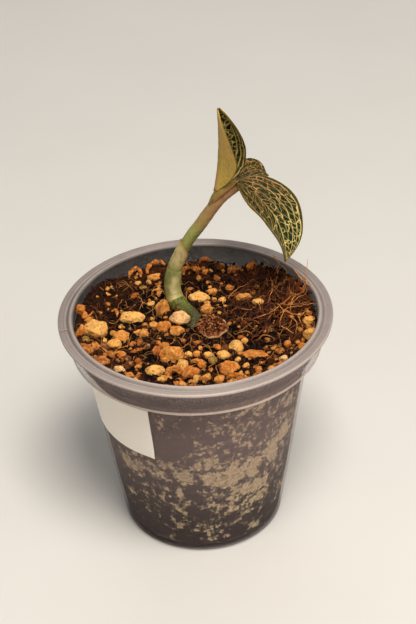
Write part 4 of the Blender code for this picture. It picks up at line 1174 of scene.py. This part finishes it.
def leaf_stations(leaf, u):
    """Middle, side and upward directions, fold and half width at each share u of the blade."""
    steps = 2000

    def between(ends, share):
        return np.radians(ends[0] + (ends[1] - ends[0]) * share)

    fine = np.linspace(0, 1, steps + 1)
    heading, pitch = between(leaf["heading"], fine), between(leaf["pitch"], fine ** leaf["bend"])
    along = np.stack([np.cos(pitch) * np.cos(heading), np.cos(pitch) * np.sin(heading), np.sin(pitch)], axis=1)
    gone = np.vstack([np.zeros(3), np.cumsum((along[1:] + along[:-1]) / 2, axis=0)]) * leaf["length"] / steps
    side = np.stack([np.sin(heading), -np.cos(heading), 0 * heading], axis=1)
    up = np.cross(side, along)
    twist = between(leaf["twist"], fine)[:, None]
    side, up = side * np.cos(twist) + up * np.sin(twist), up * np.cos(twist) - side * np.sin(twist)
    at = np.round(u * steps).astype(int)
    a, b = leaf["shape"]
    peak = a / (a + b)
    width = leaf["half_width"] * (u**a * (1 - u) ** b) / (peak**a * (1 - peak) ** b)
    return leaf["base"] + gone[at], side[at], up[at], between(leaf["fold"], u), width


def leaf_surface(leaf, u, v):
    """Points of the blade for a grid of u along it and v across it."""
    middle, side, up, fold, width = leaf_stations(leaf, u)
    curl = math.radians(leaf["curl"]) or 1e-4
    fold, width, reach = fold[:, None], width[:, None], np.abs(v)[None, :]
    out = (np.sin(fold + curl * reach) - np.sin(fold)) / curl * width * np.sign(v)[None, :]
    lift = (np.cos(fold) - np.cos(fold + curl * reach)) / curl * width
    phase = np.where(v > 0, 1.3, 0.0)[None, :]
    lift = lift + leaf["wave"] * reach**2 * np.sin(u[:, None] * 17 + phase) * np.sin(math.pi * u)[:, None]
    return middle[:, None] + side[:, None] * out[..., None] + up[:, None] * lift[..., None], width


def vein_net(p, q, warp, layer, wide):
    """Distance in millimetres to the nearest edge between cells.

    p and q are places counted in cells along and across, and wide holds the size of a cell in
    millimetres each way.
    """
    found = np.empty(len(p))
    for i, (a, b) in enumerate(zip(p, q)):
        spot = Vector((a, b, layer))
        spot += warp * Vector((noise.noise(spot * 1.3), noise.noise(spot * 1.3 + Vector((7, 0, 0))), 0.0))
        places = noise.voronoi(spot)[1]
        across = places[1] - places[0]
        gap = max(across.length, 1e-6)
        away = ((places[0] + places[1]) / 2 - spot).dot(across) / gap
        found[i] = away * gap / max(math.hypot(across.x / wide[0][i], across.y / wide[1][i]), 1e-6)
    return np.abs(found)


def paint_top(leaf, u, v, width):
    """Colours and raised veins of the blade's upper face."""
    shape = (len(u), len(v))
    share, reach = np.broadcast_to(u[:, None], shape), np.broadcast_to(np.abs(v)[None, :], shape)
    w, bold, front = v[None, :] * width, leaf["bold"], v > 0
    flat = np.stack([(share * leaf["length"]).ravel(), w.ravel(), np.full(w.size, leaf["layer"])], axis=1)

    def lumps(size, seed):
        return rough(flat, size, seed).reshape(shape)

    wobble, fine_wobble = lumps(3.2, 1.0), lumps(1.1, 2.0)
    thin = 0.75 + 0.45 * lumps(1.6, 3.0)
    lengthways = np.zeros(shape)
    line_width = leaf["line"] * np.clip(width / 6, 0.2, 1) * thin
    for place, behind, before in leaf["long"]:
        line = place + 0.04 * wobble + 0.018 * fine_wobble + 0.10 * (1 - share) ** 2 * (place - 0.5)
        vein = np.where(front, before, behind) * bell((reach - line) * width, 0, line_width)
        lengthways = np.maximum(lengthways, vein)
    rib_width = bold * (0.7 + 0.7 * ramp(share, 0.3, 0.55) + 0.3 * lumps(1.2, 5.0))
    midrib = bell(w + 0.10 * fine_wobble, 0, rib_width) * leaf["midrib"] * (0.2 + 0.8 * ramp(share, 0.15, 0.45))
    nets = []
    for size, layer, sigma in ((1.0, 0.0, bold * 0.85), (0.6, 9.0, bold * 0.5)):
        near, far = leaf["cells"]
        along = size * (near[0] + (far[0] - near[0]) * u)
        across = size * (near[1] + (far[1] - near[1]) * share) * np.where(front, leaf["front"], 1.0)
        steps = np.concatenate([[0], np.cumsum(np.diff(u) * leaf["length"] / along[1:])])
        p = steps[:, None] - leaf["slant"] * reach * width / along[:, None]
        q = w / across + np.where(front, 0.0, 40.0)[None, :]
        wide = (np.broadcast_to(along[:, None], shape).ravel(), across.ravel())
        distance = vein_net(p.ravel(), q.ravel(), 0.35, leaf["layer"] + layer, wide).reshape(shape)
        fullness = 0.55 + 0.45 * ramp(share, 0.1, 0.6) + leaf["heart"] * bell(w, 0, 2.5)
        nets.append(bell(distance, 0, sigma * thin * fullness))
    inside = 1 - ramp(reach, 0.88, 0.93)
    coarse = nets[0] * (0.4 + 0.6 * ramp(lumps(1.6, 4.0), -0.4, 0.05))
    fine = nets[1] * 0.4 / leaf["front"] * ramp(lumps(2.0, 6.0), -0.1, 0.35)
    net = np.maximum(coarse, fine) * inside * (1 - leaf["margin"] * ramp(reach, 0.5, 0.62))
    veins = np.clip(np.maximum(np.maximum(lengthways, midrib), net), 0, 1)
    gilt = ramp(share + 0.08 * wobble, *leaf["gilt"])
    # Painted highlight on the brightest veins, in patches, mostly where they are gilt.
    painted_vein_highlight = ramp(veins, 0.75, 1.0) * ramp(lumps(2.6, 8.0), 0.1, 0.5) * gilt * 0.8
    gold = coats(share, leaf["veins"][0], (leaf["veins"][1], gilt), ((250, 232, 168), painted_vein_highlight))
    shades = coats(
        share, (12, 24, 6), ((38, 60, 18), ramp(lumps(0.8, 7.0), -0.2, 0.7)),
        # Lighter toward the stem end: painted sheen.
        ((74, 66, 36), (1 - ramp(share, 0.0, 0.5)) * 0.25), ((56, 50, 20), ramp(reach, 0.84, 0.93) * 0.8),
        (gold, 0.05 * bell(nets[0], 1, 0.5) * inside), (gold, veins),
        ((122, 104, 46), ramp(reach, 0.955, 0.985) * 0.75),
    )
    return shades, veins


def paint_underside(leaf, points, share, w, reach):
    """Colours of a grid of points on the blade's lower face."""
    flat = points.reshape(-1, 3)
    soft, spots = rough(flat, 2.5, 2.0).reshape(w.shape), rough(flat, 0.9, 3.0).reshape(w.shape)
    near, far = leaf["under"]
    parallel = bell(((reach + 0.02 * soft) * 7) % 1, 0.5, 0.16)
    return coats(
        w, near, (far, np.clip(ramp(share, 0.15, 0.95) + 0.25 * soft, 0, 1)),
        ((196, 168, 104), ramp(spots + 0.5 * soft, 0.15, 0.7) * 0.35), ((140, 100, 60), bell(w, 0, 1.1) * 0.75),
        ((122, 104, 52), parallel * 0.2 * (1 - ramp(w, 6, 9))), ((84, 76, 34), ramp(reach, 0.94, 0.99)),
    )


def make_leaf(name, looks):
    leaf = LEAVES[name]
    rows, columns = leaf["grid"]
    u = np.linspace(0.006, 0.996, rows)
    v = np.linspace(-1, 1, 2 * columns + 1)
    surface, width = leaf_surface(leaf, u, v)
    normal = np.cross(np.gradient(surface, axis=1), np.gradient(surface, axis=0))
    normal /= np.maximum(np.linalg.norm(normal, axis=2), 1e-9)[..., None]
    shades, veins = paint_top(leaf, u, v, width)
    reach = np.abs(v)[None, :]
    w = reach * width
    thick = BLADE_THICKNESS / 2 * np.sqrt(np.clip(1 - reach**10, 0, 1))
    crease = 0.18 * bell(w, 0, 0.45)
    keel = (0.75 - 0.55 * u)[:, None] * bell(w, 0, 0.75)
    ends = (ramp(u, 0, 0.03) * (1 - ramp(u, 0.97, 1)))[:, None]
    inside = 1 - ramp(reach, 0.8, 1.0)
    quilt = 0.10 * rough(surface.reshape(-1, 3), 2.4, 9.0).reshape(rows, len(v))
    top = surface + normal * ((thick - crease * ends) + (0.05 * veins + quilt - 0.03) * ends * inside)[..., None]
    low = (surface - normal * (thick + (keel - quilt * inside) * ends)[..., None])[::2, ::2]
    paint = paint_underside(leaf, low, u[::2, None], w[::2, ::2], reach[:, ::2])
    points = np.concatenate([top.reshape(-1, 3), low.reshape(-1, 3)])
    shades = np.concatenate([shades.reshape(-1, 3), paint.reshape(-1, 3)])
    faces = grid_faces(rows, len(v))
    back = grid_faces(len(low), low.shape[1], start=rows * len(v))[:, ::-1]
    second = (looks[1], np.repeat((0, 1), (len(faces), len(back))))
    add_piece(name + "_blade", points, [faces, back], looks[0], shades, node=name, second=second)


def make_petioles(look):
    """The short stalks that join the blades to the stem, and the clasping base of one of them."""
    heap, sides = Heap(), 24
    for leaf in LEAVES.values():
        start, bend, joins, radius = leaf["stalk"]
        middle, _, up, _, _ = leaf_stations(leaf, np.linspace(joins, joins + 0.16, 5))
        path = smooth_path([start, bend, *(middle - up * max(0.35, 2 * radius - 1.35))], 8)
        share = np.linspace(0, 1, len(path))
        radii = radius * (1.05 - 0.62 * share)
        radii[-3:] *= (0.8, 0.5, 0.08)
        points, faces = tube(path, radii, sides)
        shades = coats(
            points[:, 0], (150, 104, 70), ((138, 120, 58), np.repeat(ramp(share, 0.3, 0.9), sides)),
            ((186, 150, 110), ramp(rough(points * (1, 1, 0.4), 0.6), 0.1, 0.6) * 0.35),
        )
        heap.add(points, faces, shades)
    path, sides = smooth_path(CLASP, 10), 28
    share = np.linspace(0, 1, len(path))
    radii = path[:, 3] * np.interp(share, (0, 0.04, 0.15, 0.85, 0.96, 1), (0.05, 0.5, 1, 1, 0.6, 0.05))
    points, faces = tube(path[:, :3], radii, sides)
    points += 0.06 * rough(points, 0.9, 4.0)[:, None]
    below = (points - np.repeat(path[:, :3], sides, axis=0)) @ np.array((0.72, 0.0, -0.69))
    shades = coats(
        below, (140, 118, 66), ((142, 118, 48), ramp(np.repeat(share, sides), 0.2, 0.55)),
        ((120, 98, 42), 0.7 * ramp(rough(points * (1, 1, 0.5), 0.8, 2.0), -0.1, 0.6)),
        ((158, 106, 72), ramp(below, -0.25, 0.35)),
    )
    heap.add(points, faces, shades)
    heap.make("petioles", look, "stem_skin")


def make_label(look):
    rows, columns = 30, 120
    line = [np.linspace(0, 1, count) for count in (rows, columns)]
    h, a = (grid.ravel() for grid in np.meshgrid(*line, indexing="ij"))
    z = np.interp(h, (0, 1), LABEL_HEIGHTS)
    turn = np.radians(np.interp(a, (0, 1), LABEL_ANGLES))
    up, along = h * 21, a * 46
    edge = np.minimum.reduce([up, 21 - up, along, 46 - along])
    curl = 0.3 * bell(along, 0, 2.0) * bell(up, 0, 3.0)
    sheets = []
    for offset in (0.24, 0.1):
        radius = np.array([wall_radius(value) for value in z]) + offset + curl - 0.05 * (1 - ramp(edge, 0, 0.4))
        sheets.append(np.stack([radius * np.sin(turn), -radius * np.cos(turn), z], axis=1))
    outer = grid_faces(rows, columns)
    faces = [outer[:, ::-1], outer + rows * columns, skirt(rows, columns)]
    add_piece("label_sticker", np.concatenate(sheets), faces, look, node="label")


# Studio


def area_light(name, place, size, power, shade):
    """A soft light that points at the middle of the pot."""
    data = bpy.data.lights.new(name, "AREA")
    data.shape, data.size, data.size_y = "RECTANGLE", size[0], size[1]
    data.energy, data.color = power, shade
    lamp = bpy.data.objects.new(name, data)
    lamp.location = place
    lamp.rotation_mode = "QUATERNION"
    lamp.rotation_quaternion = (Vector((0.0, 0.0, 0.07)) - Vector(place)).to_track_quat("-Z", "Y")
    bpy.context.scene.collection.objects.link(lamp)


def add_studio():
    bpy.ops.mesh.primitive_grid_add(x_subdivisions=8, y_subdivisions=8, size=12.0, location=(0, 0, -0.00005))
    floor = bpy.context.object
    floor.name = "floor"
    floor.data.materials.append(floor_look())
    area_light("key_light", (0.1, -0.38, 0.9), (0.34, 0.34), 8.6, (1.0, 0.95, 0.87))
    area_light("fill_light", (0.75, -0.35, 0.4), (0.5, 0.5), 1.8, (1.0, 0.95, 0.9))
    area_light("back_light", (0.0, 0.75, 0.7), (0.8, 0.4), 1.6, (1.0, 0.98, 0.96))
    world = bpy.data.worlds.new("studio_world")
    world.use_nodes = True
    background = world.node_tree.nodes["Background"]
    background.inputs["Color"].default_value = (1.0, 0.98, 0.95, 1.0)
    background.inputs["Strength"].default_value = 0.2
    scene = bpy.context.scene
    scene.world = world
    scene.view_settings.view_transform = "Standard"
    scene.view_settings.look = "None"


def main():
    draw = random.Random(SEED)
    add_camera()
    add_studio()
    make_pot(plastic_look())
    make_soil_side(soil_wall_look())
    make_soil_top(peat_look())
    grains = grain_look()
    litter = fibre_look("crumbs_and_fibres", 0.2, 0.3, 0.65, 0.5, 0.85, 0.6, 0.2)
    roots = fibre_look("dry_roots", 0.3, 0.4, 0.6, 0.45, 0.7, 0.5, 0.15)
    taken = make_grains(grains, draw)
    make_small_grains(grains, draw, taken)
    make_crumbs(litter, draw)
    make_fibres(litter, draw)
    make_roots(roots, draw)
    make_arches(grains)
    make_bark(bark_look())
    skin = stem_look()
    for make in (make_stem, make_sheath, make_petioles):
        make(skin)
    looks = (leaf_look(), underside_look())
    for name in LEAVES:
        make_leaf(name, looks)
    make_label(paper_look())


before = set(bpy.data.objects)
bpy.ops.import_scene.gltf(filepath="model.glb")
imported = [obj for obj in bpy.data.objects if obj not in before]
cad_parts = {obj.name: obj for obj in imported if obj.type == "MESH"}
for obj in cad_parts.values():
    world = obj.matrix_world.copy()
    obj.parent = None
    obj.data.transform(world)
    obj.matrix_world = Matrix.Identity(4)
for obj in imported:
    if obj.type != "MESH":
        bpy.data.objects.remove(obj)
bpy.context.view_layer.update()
main()
